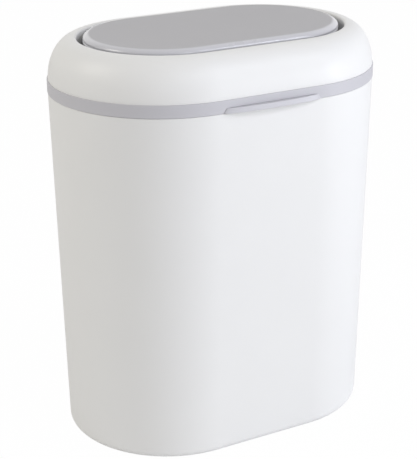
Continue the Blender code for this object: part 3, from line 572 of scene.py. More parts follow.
def foot_scuffs(net):
    """Rougher towards the foot, where the tub is pushed about."""
    low = 1 - net.ramp(net.height(), 0, SCUFF_HEIGHT)
    return low * net.noise(*SCUFFS) * SCUFF_SPREAD


def press_polish(net):
    """Smoother at the front of the door, where fingers press it."""
    ends = {0: net.place(), 1: (0, -DOOR_RADIUS + DOOR_SCREW_INSET, DOOR_TOP)}
    off = net.node("ShaderNodeVectorMath", {"operation": "DISTANCE"}, ends, "Value")
    near = 1 - net.ramp(off, *PRESS_SPAN)
    return near * net.noise(*PRESS_MARKS) * -PRESS_SPREAD


def rubber(name, colour, grain_depth):
    """Soft rubber: matt, with a fine dusty bloom."""
    net = Net(bpy.data.materials.new(name))
    bloom = net.ramp(net.noise(*BLOOM), *BLOOM_SPAN)
    tone = net.blend(bloom, *[toned(colour, share) for share in BLOOM_TONES])
    sheen = RUBBER_ROUGHNESS + BLOOM_SPREAD * bloom
    normal = net.bump(net.noise(*RUBBER_GRAIN), grain_depth)
    return net.surface({"Base Color": tone, "Roughness": sheen, "Normal": normal})


def plated_steel(name, colour):
    """Bright plated steel: fine marks of turning and drawing, and duller patches."""
    net = Net(bpy.data.materials.new(name))
    patches = net.noise(*STEEL_PATCHES)
    tone = net.blend(patches, *[toned(colour, share) for share in STEEL_TONES])
    sheen = STEEL_ROUGHNESS + STEEL_SPREAD * patches
    bands = {"wave_type": "RINGS", "rings_direction": "Z"}
    sockets = {"Vector": net.place(), "Scale": TURNING_MARKS, "Distortion": TURNING_WAVER}
    rings = net.node("ShaderNodeTexWave", bands, sockets)
    sockets = {"Base Color": tone, "Metallic": 1.0, "Roughness": sheen}
    sockets["Normal"] = net.bump(rings, TURNING_DEPTH)
    return net.surface(sockets)


FINISHES = {
    "white_plastic": moulded("white_moulding", WHITE, roughness=0.44, grain_depth=0.000012,
                             scuffs=foot_scuffs),
    "grey_plastic": moulded("grey_moulding", BAND_GREY, roughness=0.42, grain_depth=0.000008,
                            gloss=0.7),
    "door_plastic": door_plastic("door_moulding", roughness=0.46, edge_roughness=0.26,
                                 grain_depth=0.000014, gloss=0.40),
    "inner_plastic": moulded("inner_moulding", INNER_GREY, roughness=0.48, grain_depth=0.000020,
                             drift=0.03),
    "soft_seal": rubber("soft_seal", SEAL_GREY, grain_depth=0.000020),
    "foot_rubber": rubber("foot_rubber", FOOT_BLACK, grain_depth=0.000030),
    "steel": plated_steel("plated_steel", STEEL),
}

RECORD = frame["record"]
BODY_OF = {node: body for body, nodes in RECORD["behaviour"]["bodies"].items() for node in nodes}
SLOT_OF = {part["node"]: part["material_slot"] for part in RECORD["subparts"]}


def new_piece(name, bm):
    """An object with the mesh just modelled."""
    bmesh.ops.recalc_face_normals(bm, faces=bm.faces)
    mesh = bpy.data.meshes.new(name)
    bm.to_mesh(mesh)
    bm.free()
    piece = bpy.data.objects.new(name, mesh)
    bpy.context.scene.collection.objects.link(piece)
    return piece


def fit(piece, *nodes):
    """Put a piece in the place of its solids: their body and the finish of their slot, and even shading.
    """
    slot = SLOT_OF[nodes[0]]
    piece.data.shade_smooth()
    piece.data.set_sharp_from_angle(angle=SHARP_ANGLE)
    shading = piece.modifiers.new("even shading", "WEIGHTED_NORMAL")
    shading.keep_sharp = True
    piece.data.materials.clear()
    piece.data.materials.append(FINISHES[slot])
    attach(piece, BODY_OF[nodes[0]])
    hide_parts(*nodes)


def combine(piece, tool, operation):
    """Join a tool to a piece, or cut the piece with it, and put the tool away."""
    boolean = piece.modifiers.new(operation, "BOOLEAN")
    boolean.operation = operation
    boolean.solver = "EXACT"
    boolean.object = tool
    graph = bpy.context.evaluated_depsgraph_get()
    mesh = bpy.data.meshes.new_from_object(piece.evaluated_get(graph))
    piece.modifiers.clear()
    piece.data = mesh
    bpy.data.objects.remove(tool)


def fuse(piece, tool):
    """Make a tool's shape part of a piece."""
    combine(piece, tool, "UNION")


def cut(piece, tool):
    """Cut a tool's shape out of a piece."""
    combine(piece, tool, "DIFFERENCE")


def arc(centre, across, up, start, end, steps):
    """Points of an arc, from one angle to another, as pairs of radius and height."""
    turns = [radians(start + (end - start) * step / steps) for step in range(steps + 1)]
    return [(centre[0] + across * cos(turn), centre[1] + up * sin(turn)) for turn in turns]


def softened(corners, steps=EDGE_STEPS):
    """Round a profile's corners. Each is a radius, a height and the edge radius, if it has one."""
    points = []
    for number, (radius, height, *edge) in enumerate(corners):
        here = Vector((radius, height))
        if not edge:
            points.append((radius, height))
            continue
        before = (Vector(corners[number - 1][:2]) - here).normalized()
        after = (Vector(corners[(number + 1) % len(corners)][:2]) - here).normalized()
        half = before.angle(after) / 2
        centre = here + (before + after).normalized() * edge[0] / sin(half)
        first = here + before * edge[0] / tan(half) - centre
        last = here + after * edge[0] / tan(half) - centre
        for step in range(steps + 1):
            points.append(tuple(centre + first.slerp(last, step / steps).normalized() * edge[0]))
    return points


def skin(name, rows, loop):
    """Skin a round of rows of points with quads. A loop's rows close on themselves."""
    bm = bmesh.new()
    grid = [[bm.verts.new(point) for point in row] for row in rows]
    for here, there in zip(grid, grid[1:] + grid[:1]):
        here_next = here[1:] + here[:1] if loop else here[1:]
        there_next = there[1:] + there[:1] if loop else there[1:]
        for corners in zip(here, here_next, there_next, there):
            bm.faces.new(corners)
    bmesh.ops.remove_doubles(bm, verts=bm.verts, dist=MERGE_DISTANCE)
    return new_piece(name, bm)


def oval(name, profile, ring=True):
    """Sweep a profile of radii and heights along the bin's oval outline.

    A ring's profile closes on itself, and any other starts and ends at radius zero.
    """
    rows = []
    for side, start in ((1, -90), (-1, 90)):
        for step in range(ROUND_STEPS + 1):
            turn = radians(start + 180 * step / ROUND_STEPS)
            rows.append([(side * HALF_STRAIGHT + radius * cos(turn), radius * sin(turn), height)
                         for radius, height in profile])
    return skin(name, rows, ring)


def turned(name, profile, sides):
    """Turn a profile of radii and heights, which starts and ends at radius zero, about Z."""
    turns = [2 * pi * side / sides for side in range(sides)]
    rows = [[(radius * cos(turn), radius * sin(turn), height) for radius, height in profile]
            for turn in turns]
    return skin(name, rows, False)


def pillars(name, centres, radius, bottom, top, sides=SCREW_SIDES):
    """Upright round posts between two levels."""
    bm = bmesh.new()
    for x, y in centres:
        middle = Matrix.Translation((x, y, (bottom + top) / 2))
        bmesh.ops.create_cone(bm, cap_ends=True, segments=sides, radius1=radius, radius2=radius,
                              depth=top - bottom, matrix=middle)
    return new_piece(name, bm)


def drill(piece, centres, bottom, top):
    """Screw holes through a piece, between two levels."""
    cut(piece, pillars("screw_holes", centres, SCREW_RADIUS + SCREW_PLAY, bottom, top))


def rods(name, spans, axis, radius, sides, edge=0):
    """Level round rods along X about an axis, one for each span of x, with rounded ends."""
    bm = bmesh.new()
    for span in spans:
        low, high = sorted(span)
        corners = [(0, low), (radius, low, edge), (radius, high, edge), (0, high)]
        profile = softened(corners) if edge else [corner[:2] for corner in corners]
        rows = []
        for side in range(sides):
            turn = 2 * pi * side / sides
            rows.append([bm.verts.new((along, axis.y + out * cos(turn), axis.z + out * sin(turn)))
                         for out, along in profile])
        for here, there in zip(rows, rows[1:] + rows[:1]):
            for corners in zip(here, here[1:], there[1:], there):
                bm.faces.new(corners)
    bmesh.ops.remove_doubles(bm, verts=bm.verts, dist=MERGE_DISTANCE)
    return new_piece(name, bm)


def blocks(name, corners, edge=0, turn=None):
    """Blocks, each between two corners, with rounded edges if they have an edge radius."""
    bm = bmesh.new()
    for low, high in corners:
        low = Vector(low)
        high = Vector(high)
        matrix = Matrix.Translation((low + high) / 2) @ Matrix.Diagonal((*(high - low), 1))
        bmesh.ops.create_cube(bm, size=1, matrix=matrix)
    if edge:
        bmesh.ops.bevel(bm, geom=bm.edges[:], offset=edge, segments=EDGE_STEPS - 1, profile=0.5,
                        affect="EDGES")
    piece = new_piece(name, bm)
    if turn:
        piece.data.transform(turn)
    return piece


def stack(name, outlines):
    """A solid through a row of outlines, closed at the first and at the last."""
    bm = bmesh.new()
    levels = [[bm.verts.new(point) for point in outline] for outline in outlines]
    for below, above in zip(levels, levels[1:]):
        for corners in zip(below, below[1:] + below[:1], above[1:] + above[:1], above):
            bm.faces.new(corners)
    bm.faces.new(levels[0])
    bm.faces.new(levels[-1])
    return new_piece(name, bm)


def wall_radius(height):
    """Outer radius of the tub's sloping wall at a height."""
    return TUB_BASE_RADIUS + TUB_TAPER * (height - FOOT_LEVEL) / TUB_HEIGHT


def dome_height(radius):
    """Height of the lid frame's outer surface at a radius outside its crest."""
    reach_share = (radius - CREST_RADIUS) / DOME_REACH
    return DOME_LEVEL + DOME_RISE * sqrt(1 - reach_share ** 2)


def quarters(x, y):
    """A place in each quarter of the bin."""
    return [(side * x, end * y) for end in (-1, 1) for side in (-1, 1)]


def round_quarters(radius, angle):
    """A place in each quarter, at an angle round the outline's half rounds."""
    return quarters(HALF_STRAIGHT + radius * cos(angle), radius * sin(angle))


def pad_places():
    """Where the four foot pads stand, in the middle of the foot ring."""
    return round_quarters(TUB_BASE_RADIUS - FOOT_EDGE_RADIUS - FOOT_RING_WIDTH / 2, PAD_ANGLE)


def lid_screw_places():
    """Two screws along the front, two along the back and one at each end of the lid."""
    rows = quarters(HALF_STRAIGHT * LID_SCREW_OFFSET_SHARE, LID_SCREW_RADIUS)
    ends = [(side * (HALF_STRAIGHT + LID_SCREW_RADIUS), 0) for side in (-1, 1)]
    return rows + ends


def door_screw_places():
    """One screw near each corner of the door."""
    return round_quarters(THROAT_RADIUS - DOOR_SCREW_INSET, DOOR_SCREW_ANGLE)


def latch_screw_places():
    """One screw on each side of the latch."""
    return [(side * LATCH_SCREW_OFFSET, -LATCH_CENTRE) for side in (-1, 1)]


def hinge_spans():
    """Spans of x that the lid hinge's knuckles fill: the tub's three, then the lid's two."""
    half = HINGE_LENGTH / 2
    inner = HINGE_MIDDLE_KNUCKLE / 2
    outer = half - HINGE_OUTER_KNUCKLE
    tub = [(-half, -outer), (-inner, inner), (outer, half)]
    right = (inner + HINGE_SIDE_GAP, outer - HINGE_SIDE_GAP)
    lid = [(-right[1], -right[0]), right]
    return tub, lid


def striker_limits():
    """The striker tongue's front and back faces, and half its width."""
    front = -LATCH_CENTRE - STRIKER_THICKNESS / 2
    return front, front + STRIKER_THICKNESS, STRIKER_WIDTH / 2


def add_knuckles(piece, spans, web_start, web_bottom, web_top):
    """Fuse hinge knuckles to a wall by their webs, and bore them for the hinge pin."""
    web_end = HINGE_BEHIND - HINGE_KNUCKLE_RADIUS / 2
    webs = [((start + HINGE_WEB_INSET, web_start, web_bottom),
             (end - HINGE_WEB_INSET, web_end, web_top)) for start, end in spans]
    fuse(piece, blocks("webs", webs))
    fuse(piece, rods("knuckles", spans, LID_AXIS, HINGE_KNUCKLE_RADIUS, HINGE_SIDES, FINE_EDGE))
    bores = [(start - OVERRUN, end + OVERRUN) for start, end in spans]
    cut(piece, rods("bores", bores, LID_AXIS, HINGE_PIN_RADIUS + HINGE_PLAY, HINGE_SIDES))


def add_pivot_bosses(piece, boss, bore):
    """Fuse a boss for the door's pivot pin on each side of a piece, and bore both."""
    bosses, bores = [[(side * start, side * end) for side in (-1, 1)]
                     for start, end in (boss, bore)]
    fuse(piece, rods("bosses", bosses, DOOR_AXIS, PIVOT_BOSS_RADIUS, PIVOT_SIDES))
    cut(piece, rods("bores", bores, DOOR_AXIS, PIVOT_PIN_RADIUS + PIVOT_PLAY, PIVOT_SIDES))


def make_tub():
    """The white tub: a sloping wall, a floor on a foot ring, and a neck that the lid laps over."""
    foot_wall = wall_radius(FOOT_LEVEL + FOOT_EDGE_RADIUS)
    edge = (foot_wall - FOOT_EDGE_RADIUS, FOOT_LEVEL + FOOT_EDGE_RADIUS)
    ring = TUB_BASE_RADIUS - FOOT_EDGE_RADIUS - FOOT_RING_WIDTH
    recess = FOOT_LEVEL + UNDERSIDE_RECESS
    inside = FOOT_EDGE_RADIUS - TUB_WALL
    corners = [(0, recess), (ring - FOOT_RING_SLOPE, recess, FINE_EDGE), (ring, FOOT_LEVEL, FINE_EDGE)]
    corners += arc(edge, FOOT_EDGE_RADIUS, FOOT_EDGE_RADIUS, -90, 0, ROLL_STEPS)
    corners += [(TUB_TOP_RADIUS, SHOULDER_LEVEL, SHOULDER_EDGE), (NECK_OUTER, SHOULDER_LEVEL)]
    corners += [(NECK_OUTER, NECK_LEVEL, FINE_EDGE), (NECK_INNER, NECK_LEVEL, FINE_EDGE)]
    corners += [(NECK_INNER, SHOULDER_LEVEL)]
    corners += arc(edge, inside, FOOT_EDGE_RADIUS - TUB_FLOOR, 0, -90, ROLL_STEPS)
    corners += [(ring, FOOT_LEVEL + TUB_FLOOR), (ring - FOOT_RING_SLOPE, recess + TUB_FLOOR)]
    corners += [(0, recess + TUB_FLOOR)]
    tub = oval("tub_moulding", softened(corners), ring=False)
    tub_spans, _ = hinge_spans()
    add_knuckles(tub, tub_spans, wall_radius(HINGE_LEVEL) - TUB_WALL / 2,
                 HINGE_LEVEL - HINGE_KNUCKLE_RADIUS + HINGE_WEB_INSET, HINGE_LEVEL - HINGE_WEB_OFFSET)
    cut(tub, pillars("pad_sockets", pad_places(), PAD_RADIUS + SEAT_GAP,
                     FOOT_LEVEL - OVERRUN, FOOT_LEVEL + PAD_SUNK, PAD_SIDES))
    fit(tub, "tub")


def make_foot_pads():
    """Four non-slip pads, with rings moulded in their faces, that the bin stands on."""
    top = FOOT_LEVEL + PAD_SUNK - SEAT_GAP
    corners = [(0, top), (PAD_RADIUS, top, PAD_GROOVE / 2), (PAD_RADIUS, 0, PAD_GROOVE / 2)]
    for share in PAD_GROOVE_SHARES:
        groove = PAD_RADIUS * share
        corners += [(groove, 0), (groove - PAD_GROOVE / 2, PAD_GROOVE), (groove - PAD_GROOVE, 0)]
    corners += [(0, 0)]
    for number, (x, y) in enumerate(pad_places(), 1):
        pad = turned(f"foot_pad_moulding_{number}", softened(corners), PAD_SIDES)
        pad.location = (x, y, 0)
        fit(pad, f"foot_pad_{number}")


def make_bag_ring():
    """The ring that grips the bag's edge over the tub's neck."""
    outer = NECK_INNER - BAG_RING_PLAY
    inner = outer - BAG_RING_WALL
    under_flange = NECK_LEVEL + SEAT_GAP
    skirt = BAG_RING_LEVEL - BAG_RING_SKIRT
    flange = NECK_OUTER - BAG_RING_SETBACK
    corners = [(flange, under_flange, FINE_EDGE), (flange, BAG_RING_LEVEL, FINE_EDGE)]
    corners += [(inner, BAG_RING_LEVEL, SOFT_EDGE), (inner, skirt, FINE_EDGE)]
    corners += [(outer, skirt, SOFT_EDGE), (outer, under_flange)]
    fit(oval("bag_ring_moulding", softened(corners)), "bag_ring")


def make_hinge_pin():
    """The steel rod through the lid hinge's knuckles."""
    half = HINGE_LENGTH / 2
    pin = rods("hinge_rod", [(-half, half)], LID_AXIS, HINGE_PIN_RADIUS, HINGE_SIDES, FINE_EDGE)
    fit(pin, "lid_hinge_pin")


def lip_outlines(levels, back):
    """Half-round outlines of the finger lip, drawn in by an inset, and more so at its ends."""
    turns = [pi * step / LIP_STEPS for step in range(LIP_STEPS + 1)]
    outlines = []
    for inset, height in levels:
        half = LIP_LENGTH / 2 - LIP_END_TIMES * inset
        reach = LIP_REACH - inset
        outline = [(half * cos(turn), -BAND_RADIUS - reach * sin(turn), height) for turn in turns]
        outline += [(-half, -BAND_RADIUS + back, height), (half, -BAND_RADIUS + back, height)]
        outlines.append(outline)
    return outlines


def make_rim_band():
    """The grey band: it laps over the tub's neck, lifts by its finger lip and turns on the hinge."""
    corners = [(BAND_RADIUS, BAND_LEVEL, BAND_EDGE), (BAND_RADIUS, BAND_TOP, BAND_EDGE)]
    corners += [(FLANGE_RADIUS, BAND_TOP, FINE_EDGE), (FLANGE_RADIUS, FLANGE_LEVEL, FINE_EDGE)]
    corners += [(LAP_RADIUS, FLANGE_LEVEL), (LAP_RADIUS, BAND_LEVEL)]
    band = oval("band_moulding", softened(corners))
    lip_top = BAND_LEVEL + LIP_HEIGHT
    wall_middle = (BAND_RADIUS - LAP_RADIUS) / 2
    ledge = lip_top - LIP_LEDGE_DROP
    soft = [(LIP_SLANT, BAND_LEVEL), (0, BAND_LEVEL, FINE_EDGE), (LIP_SLANT, ledge, LIP_EDGE)]
    soft += [(LIP_SLANT + 2 * LIP_EDGE, ledge)]
    fuse(band, stack("finger_lip", lip_outlines(softened(soft), wall_middle)))
    hollow_top = lip_top - LIP_WALL
    hollow = [(LIP_WALL, BAND_LEVEL - OVERRUN), (LIP_WALL + LIP_EDGE, hollow_top)]
    cut(band, stack("finger_lip_hollow", lip_outlines(hollow, 0)))
    slit_low = (-LIP_SLIT_HALF, -BAND_RADIUS - FINE_EDGE, ledge - LIP_SLIT_SINK)
    slit_high = (LIP_SLIT_HALF, -BAND_RADIUS + LIP_SLIT_DEPTH, ledge + LIP_SLIT_HEIGHT)
    cut(band, blocks("lip_slit", [(slit_low, slit_high)]))
    _, lid_spans = hinge_spans()
    add_knuckles(band, lid_spans, BAND_RADIUS - wall_middle,
                 HINGE_LEVEL + HINGE_WEB_OFFSET, HINGE_LEVEL + HINGE_KNUCKLE_RADIUS - HINGE_WEB_INSET)
    drill(band, lid_screw_places(), FLANGE_LEVEL - OVERRUN, BAND_TOP + OVERRUN)
    fit(band, "rim_band")


def make_lid_frame():
    """The white frame: a domed shell that curls over into the door's opening, with screw bosses."""
    crest = (CREST_RADIUS, DOME_LEVEL)
    edge = (CREST_RADIUS, DOME_TOP - MOUTH_EDGE_RADIUS)
    foot = BAND_TOP + DOME_SEAM
    profile = [(DOME_RADIUS, foot)]
    profile += arc(crest, DOME_REACH, DOME_RISE, 0, 90, DOME_STEPS)[1:]
    profile += arc(edge, MOUTH_EDGE_RADIUS, MOUTH_EDGE_RADIUS, 90, 180, ROLL_STEPS)[1:]
    profile += [(MOUTH_RADIUS, MOUTH_LEVEL), (MOUTH_RADIUS + DOME_WALL, MOUTH_LEVEL)]
    profile += arc(crest, DOME_REACH - DOME_WALL, DOME_RISE - DOME_WALL, 90, 0, DOME_STEPS)
    profile += [(DOME_RADIUS - DOME_WALL, foot)]
    shell = oval("lid_frame_moulding", profile)
    boss_level = PLATE_TOP + SEAT_GAP
    boss_top = dome_height(LID_SCREW_RADIUS + SCREW_BOSS_RADIUS) - DOME_WALL / 2
    fuse(shell, pillars("bosses", lid_screw_places(), SCREW_BOSS_RADIUS, boss_level, boss_top))
    screw_tip = FLANGE_LEVEL - SEAT_GAP + SCREW_LONG
    drill(shell, lid_screw_places(), boss_level - OVERRUN, screw_tip + SCREW_TIP_ROOM)
    add_pivot_bosses(shell, (FRAME_BOSS_START, FRAME_BOSS_END),
                     (DOOR_BOSS_START, PIVOT_PIN_END + PIVOT_PLAY))
    fit(shell, "lid_frame")


def make_lid_base():
    """The plate under the dome, with the ledge that the door shuts on and the throat inside it."""
    throat = LEDGE_TOP - THROAT_DEPTH
    throat_outer = THROAT_RADIUS + THROAT_WALL
    riser_inner = RISER_RADIUS - BASE_RISER_WALL
    corners = [(BASE_EDGE_RADIUS, DOME_LEVEL, FINE_EDGE), (BASE_EDGE_RADIUS, PLATE_TOP, FINE_EDGE)]
    corners += [(RISER_RADIUS, PLATE_TOP), (RISER_RADIUS, LEDGE_TOP, FINE_EDGE)]
    corners += [(THROAT_RADIUS, LEDGE_TOP, SOFT_EDGE), (THROAT_RADIUS, throat, FINE_EDGE)]
    corners += [(throat_outer, throat, FINE_EDGE), (throat_outer, LEDGE_LEVEL)]
    corners += [(riser_inner, LEDGE_LEVEL), (riser_inner, DOME_LEVEL)]
    base = oval("lid_base_moulding", softened(corners))
    fuse(base, pillars("latch_bosses", latch_screw_places(), SMALL_BOSS_RADIUS,
                       EAR_TOP + SEAT_GAP, LEDGE_LEVEL + BASE_PLATE / 2))
    screw_tip = EAR_LEVEL - SEAT_GAP + SCREW_SHORT
    drill(base, latch_screw_places(), EAR_TOP, screw_tip + SCREW_TIP_ROOM)
    drill(base, lid_screw_places(), DOME_LEVEL - OVERRUN, PLATE_TOP + OVERRUN)
    front, back, half = striker_limits()
    slot = half + STRIKER_PLAY
    slot_low = (-slot, front - STRIKER_SWING_ROOM, LEDGE_LEVEL - OVERRUN)
    slot_high = (slot, back + STRIKER_PLAY, LEDGE_TOP + OVERRUN)
    cut(base, blocks("striker_slot", [(slot_low, slot_high)]))
    add_base_ribs(base, throat_outer, riser_inner)
    fit(base, "lid_base")


def add_base_ribs(base, throat_outer, riser_inner):
    """Stiffening ribs under the ledge, between the throat and the riser."""
    low = (throat_outer - THROAT_WALL / 2, -BASE_RIB_THICKNESS / 2, LEDGE_LEVEL - BASE_RIB_HEIGHT)
    high = (riser_inner + BASE_RISER_WALL / 2, BASE_RIB_THICKNESS / 2, LEDGE_LEVEL + BASE_PLATE / 2)
    ends = [(side * HALF_STRAIGHT, angle if side > 0 else 180 + angle)
            for side in (-1, 1) for angle in END_RIB_ANGLES]
    walls = [(share * HALF_STRAIGHT, angle) for share in SIDE_RIB_SHARES for angle in (-90, 90)]
    for x, angle in ends + walls:
        turn = Matrix.Translation((x, 0, 0)) @ Matrix.Rotation(radians(angle), 4, "Z")
        fuse(base, blocks("rib", [(low, high)], turn=turn))


def make_seal(node, inner, outer, seat, pressed, height):
    """A soft ring that lies flat in its seat and is round where it is pressed."""
    corners = [(outer, seat, FINE_EDGE), (outer, pressed, height / 2)]
    corners += [(inner, pressed, height / 2), (inner, seat, FINE_EDGE)]
    fit(oval(f"{node}_ring", softened(corners, SEAL_STEPS)), node)


def make_seals():
    """The rings that shut the bin: one under the door, one under the lid."""
    make_seal("door_seal", DOOR_SEAL_RADIUS - DOOR_SEAL_WIDTH, DOOR_SEAL_RADIUS,
              MOUTH_LEVEL, DOOR_SEAL_TOP, DOOR_SEAL_HEIGHT)
    make_seal("rim_seal", RIM_SEAL_RADIUS, RIM_SEAL_RADIUS + RIM_SEAL_WIDTH,
              RIM_SEAL_TOP, RIM_SEAL_LEVEL, RIM_SEAL_HEIGHT)


def screw_shape(name, length):
    """A pan-head screw that points up from its head, with a thread and a cross in its head."""
    corners = [(0, 0), (SCREW_HEAD_RADIUS, 0, SCREW_HEAD_ROUND), (SCREW_HEAD_RADIUS, SCREW_HEAD)]
    corners += [(SCREW_RADIUS, SCREW_HEAD)]
    top = SCREW_HEAD + length
    height = SCREW_HEAD + SCREW_PITCH
    while height < top - SCREW_TIP:
        corners += [(SCREW_RADIUS - SCREW_THREAD, height), (SCREW_RADIUS, height + SCREW_PITCH / 2)]
        height += SCREW_PITCH
    corners += [(SCREW_RADIUS - SCREW_THREAD, top - SCREW_TIP), (0, top)]
    screw = turned(name, softened(corners), SCREW_SIDES)
    arm = SCREW_CROSS_LENGTH / 2
    slot = SCREW_CROSS_WIDTH / 2
    for x, y in ((arm, slot), (slot, arm)):
        cut(screw, blocks("cross", [((-x, -y, -OVERRUN), (x, y, SCREW_CROSS_DEPTH))]))
    return screw


def make_screws():
    """Every screw of the lid, the latch and the door, each turned by its own amount."""
    long_screw = screw_shape("long_screw", SCREW_LONG)
    short_screw = screw_shape("short_screw", SCREW_SHORT)
    names = [node for node in SLOT_OF if "_screw" in node]
    for number, name in enumerate(names):
        low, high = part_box(name)
        shape = long_screw if high.z - low.z > SCREW_SHORT + 2 * SCREW_HEAD else short_screw
        screw = bpy.data.objects.new(name.replace("screw", "pan_screw"), shape.data.copy())
        bpy.context.scene.collection.objects.link(screw)
        screw.location = ((low.x + high.x) / 2, (low.y + high.y) / 2, low.z)
        screw.rotation_euler = (0, 0, radians(SCREW_TURN * number))
        fit(screw, name)
    bpy.data.objects.remove(long_screw)
    bpy.data.objects.remove(short_screw)


def make_door_panel():
    """The grey door: a flat top with a rolled edge, a skirt, screw bosses and pivot bosses."""
    edge = (DOOR_RADIUS - DOOR_EDGE_RADIUS, DOOR_TOP - DOOR_EDGE_RADIUS)
    roll = (DOOR_RADIUS - DOOR_ROLL_REACH, edge[1])
    line = DOOR_RADIUS - DOOR_LINE_DEPTH
    line_low = edge[1] - DOOR_LINE_HEIGHT
    inner = DOOR_RADIUS - DOOR_WALL
    corners = [(0, DOOR_TOP)]
    corners += arc(roll, DOOR_ROLL_REACH, DOOR_EDGE_RADIUS, 90, 0, ROLL_STEPS)
    corners += [(line, edge[1] - DOOR_LINE_SLOPE), (line, line_low)]
    corners += [(DOOR_RADIUS, line_low - DOOR_LINE_DEPTH)]
    corners += [(DOOR_RADIUS, SKIRT_LEVEL, FINE_EDGE), (inner, SKIRT_LEVEL, FINE_EDGE)]
    across = DOOR_EDGE_RADIUS - DOOR_WALL
    corners += arc(edge, across, DOOR_EDGE_RADIUS - DOOR_PLATE, 0, 90, ROLL_STEPS)
    corners += [(0, DOOR_TOP - DOOR_PLATE)]
    door = oval("door_moulding", softened(corners), ring=False)
    fuse(door, pillars("bosses", door_screw_places(), SCREW_BOSS_RADIUS, TRAY_TOP + SEAT_GAP,
                       DOOR_TOP - DOOR_PLATE / 2))
    screw_tip = TRAY_LEVEL - SEAT_GAP + SCREW_LONG
    drill(door, door_screw_places(), TRAY_TOP, screw_tip + SCREW_TIP_ROOM)
    add_pivot_bosses(door, (DOOR_BOSS_START, DOOR_BOSS_END),
                     (DOOR_BOSS_START - OVERRUN, HALF_STRAIGHT + MOUTH_RADIUS))
    fit(door, "door_panel")


def make_door_tray():
    """The tray that closes the door from below and presses on the seal."""
    wall_top = TRAY_LEVEL + TRAY_HEIGHT
    inner = TRAY_RADIUS - TRAY_WALL
    floor = TRAY_LEVEL + TRAY_GROOVE_DEPTH
    corners = [(0, TRAY_LEVEL)]
    for radius in TRAY_GROOVES:
        corners += [(radius, TRAY_LEVEL), (radius + TRAY_GROOVE_DEPTH, floor)]
        corners += [(radius + TRAY_GROOVE_WIDTH - TRAY_GROOVE_DEPTH, floor)]
        corners += [(radius + TRAY_GROOVE_WIDTH, TRAY_LEVEL)]
    corners += [(TRAY_RADIUS - TRAY_CHAMFER, TRAY_LEVEL, FINE_EDGE)]
    corners += [(TRAY_RADIUS, TRAY_LEVEL + TRAY_CHAMFER, FINE_EDGE)]
    corners += [(TRAY_RADIUS, wall_top, FINE_EDGE), (inner, wall_top, FINE_EDGE)]
    corners += [(inner, TRAY_TOP), (0, TRAY_TOP)]
    tray = oval("door_tray_moulding", softened(corners), ring=False)
    holes = door_screw_places() + [(0, STRIKER_SCREW_Y)]
    drill(tray, holes, TRAY_LEVEL - OVERRUN, TRAY_TOP + OVERRUN)
    _, back, half = striker_limits()
    notch = half + STRIKER_PLAY
    notch_low = (-notch, -DOOR_RADIUS, TRAY_LEVEL - OVERRUN)
    notch_high = (notch, back + STRIKER_PLAY, wall_top + OVERRUN)
    cut(tray, blocks("tray_notch", [(notch_low, notch_high)]))
    fit(tray, "door_tray")


def make_striker():
    """The tongue that hangs from the door into the latch, on a foot screwed to the tray."""
    front, back, half = striker_limits()
    foot_level = TRAY_TOP + SEAT_GAP
    foot_top = foot_level + STRIKER_BASE
    foot_front = -TRAY_RADIUS + TRAY_WALL + STRIKER_PLAY
    foot_half = STRIKER_BASE_WIDTH / 2
    foot_low = (-foot_half, foot_front, foot_level)
    foot_high = (foot_half, foot_front + STRIKER_BASE_LENGTH, foot_top)
    striker = blocks("striker_moulding", [(foot_low, foot_high)], FINE_EDGE)
    tongue_low = (-half, front, STRIKER_LEVEL)
    tongue_high = (half, back, foot_top - FINE_EDGE / 2)
    fuse(striker, blocks("tongue", [(tongue_low, tongue_high)], FINE_EDGE))
    centre = [(0, STRIKER_SCREW_Y)]
    boss_top = foot_level + STRIKER_BOSS_HEIGHT
    boss_bottom = foot_level + STRIKER_BASE / 2
    fuse(striker, pillars("boss", centre, SMALL_BOSS_RADIUS, boss_bottom, boss_top))
    drill(striker, centre, foot_level - OVERRUN, boss_top + OVERRUN)
    fit(striker, "door_striker")


def make_pivot_pins():
    """The two short pins that the door turns on, pushed out into the frame from inside the door."""
    head_start = DOOR_BOSS_START - SEAT_GAP - PIVOT_HEAD
    length = PIVOT_PIN_END - head_start
    corners = [(0, 0), (PIVOT_HEAD_RADIUS, 0, FINE_EDGE), (PIVOT_HEAD_RADIUS, PIVOT_HEAD, FINE_EDGE)]
    corners += [(PIVOT_PIN_RADIUS, PIVOT_HEAD), (PIVOT_PIN_RADIUS, length, FINE_EDGE), (0, length)]
    for name, side in (("left", -1), ("right", 1)):
        pin = turned(f"pivot_rod_{name}", softened(corners), PIVOT_SIDES)
        pin.location = DOOR_AXIS + Vector((side * head_start, 0, 0))
        pin.rotation_euler = (0, side * radians(90), 0)
        fit(pin, f"door_pivot_pin_{name}")


def latch_block(name, half_x, half_y, bottom, top, edge=0):
    """A block round the middle of the latch, between two levels."""
    low = (-half_x, -LATCH_CENTRE - half_y, bottom)
    high = (half_x, -LATCH_CENTRE + half_y, top)
    return blocks(name, [(low, high)], edge)


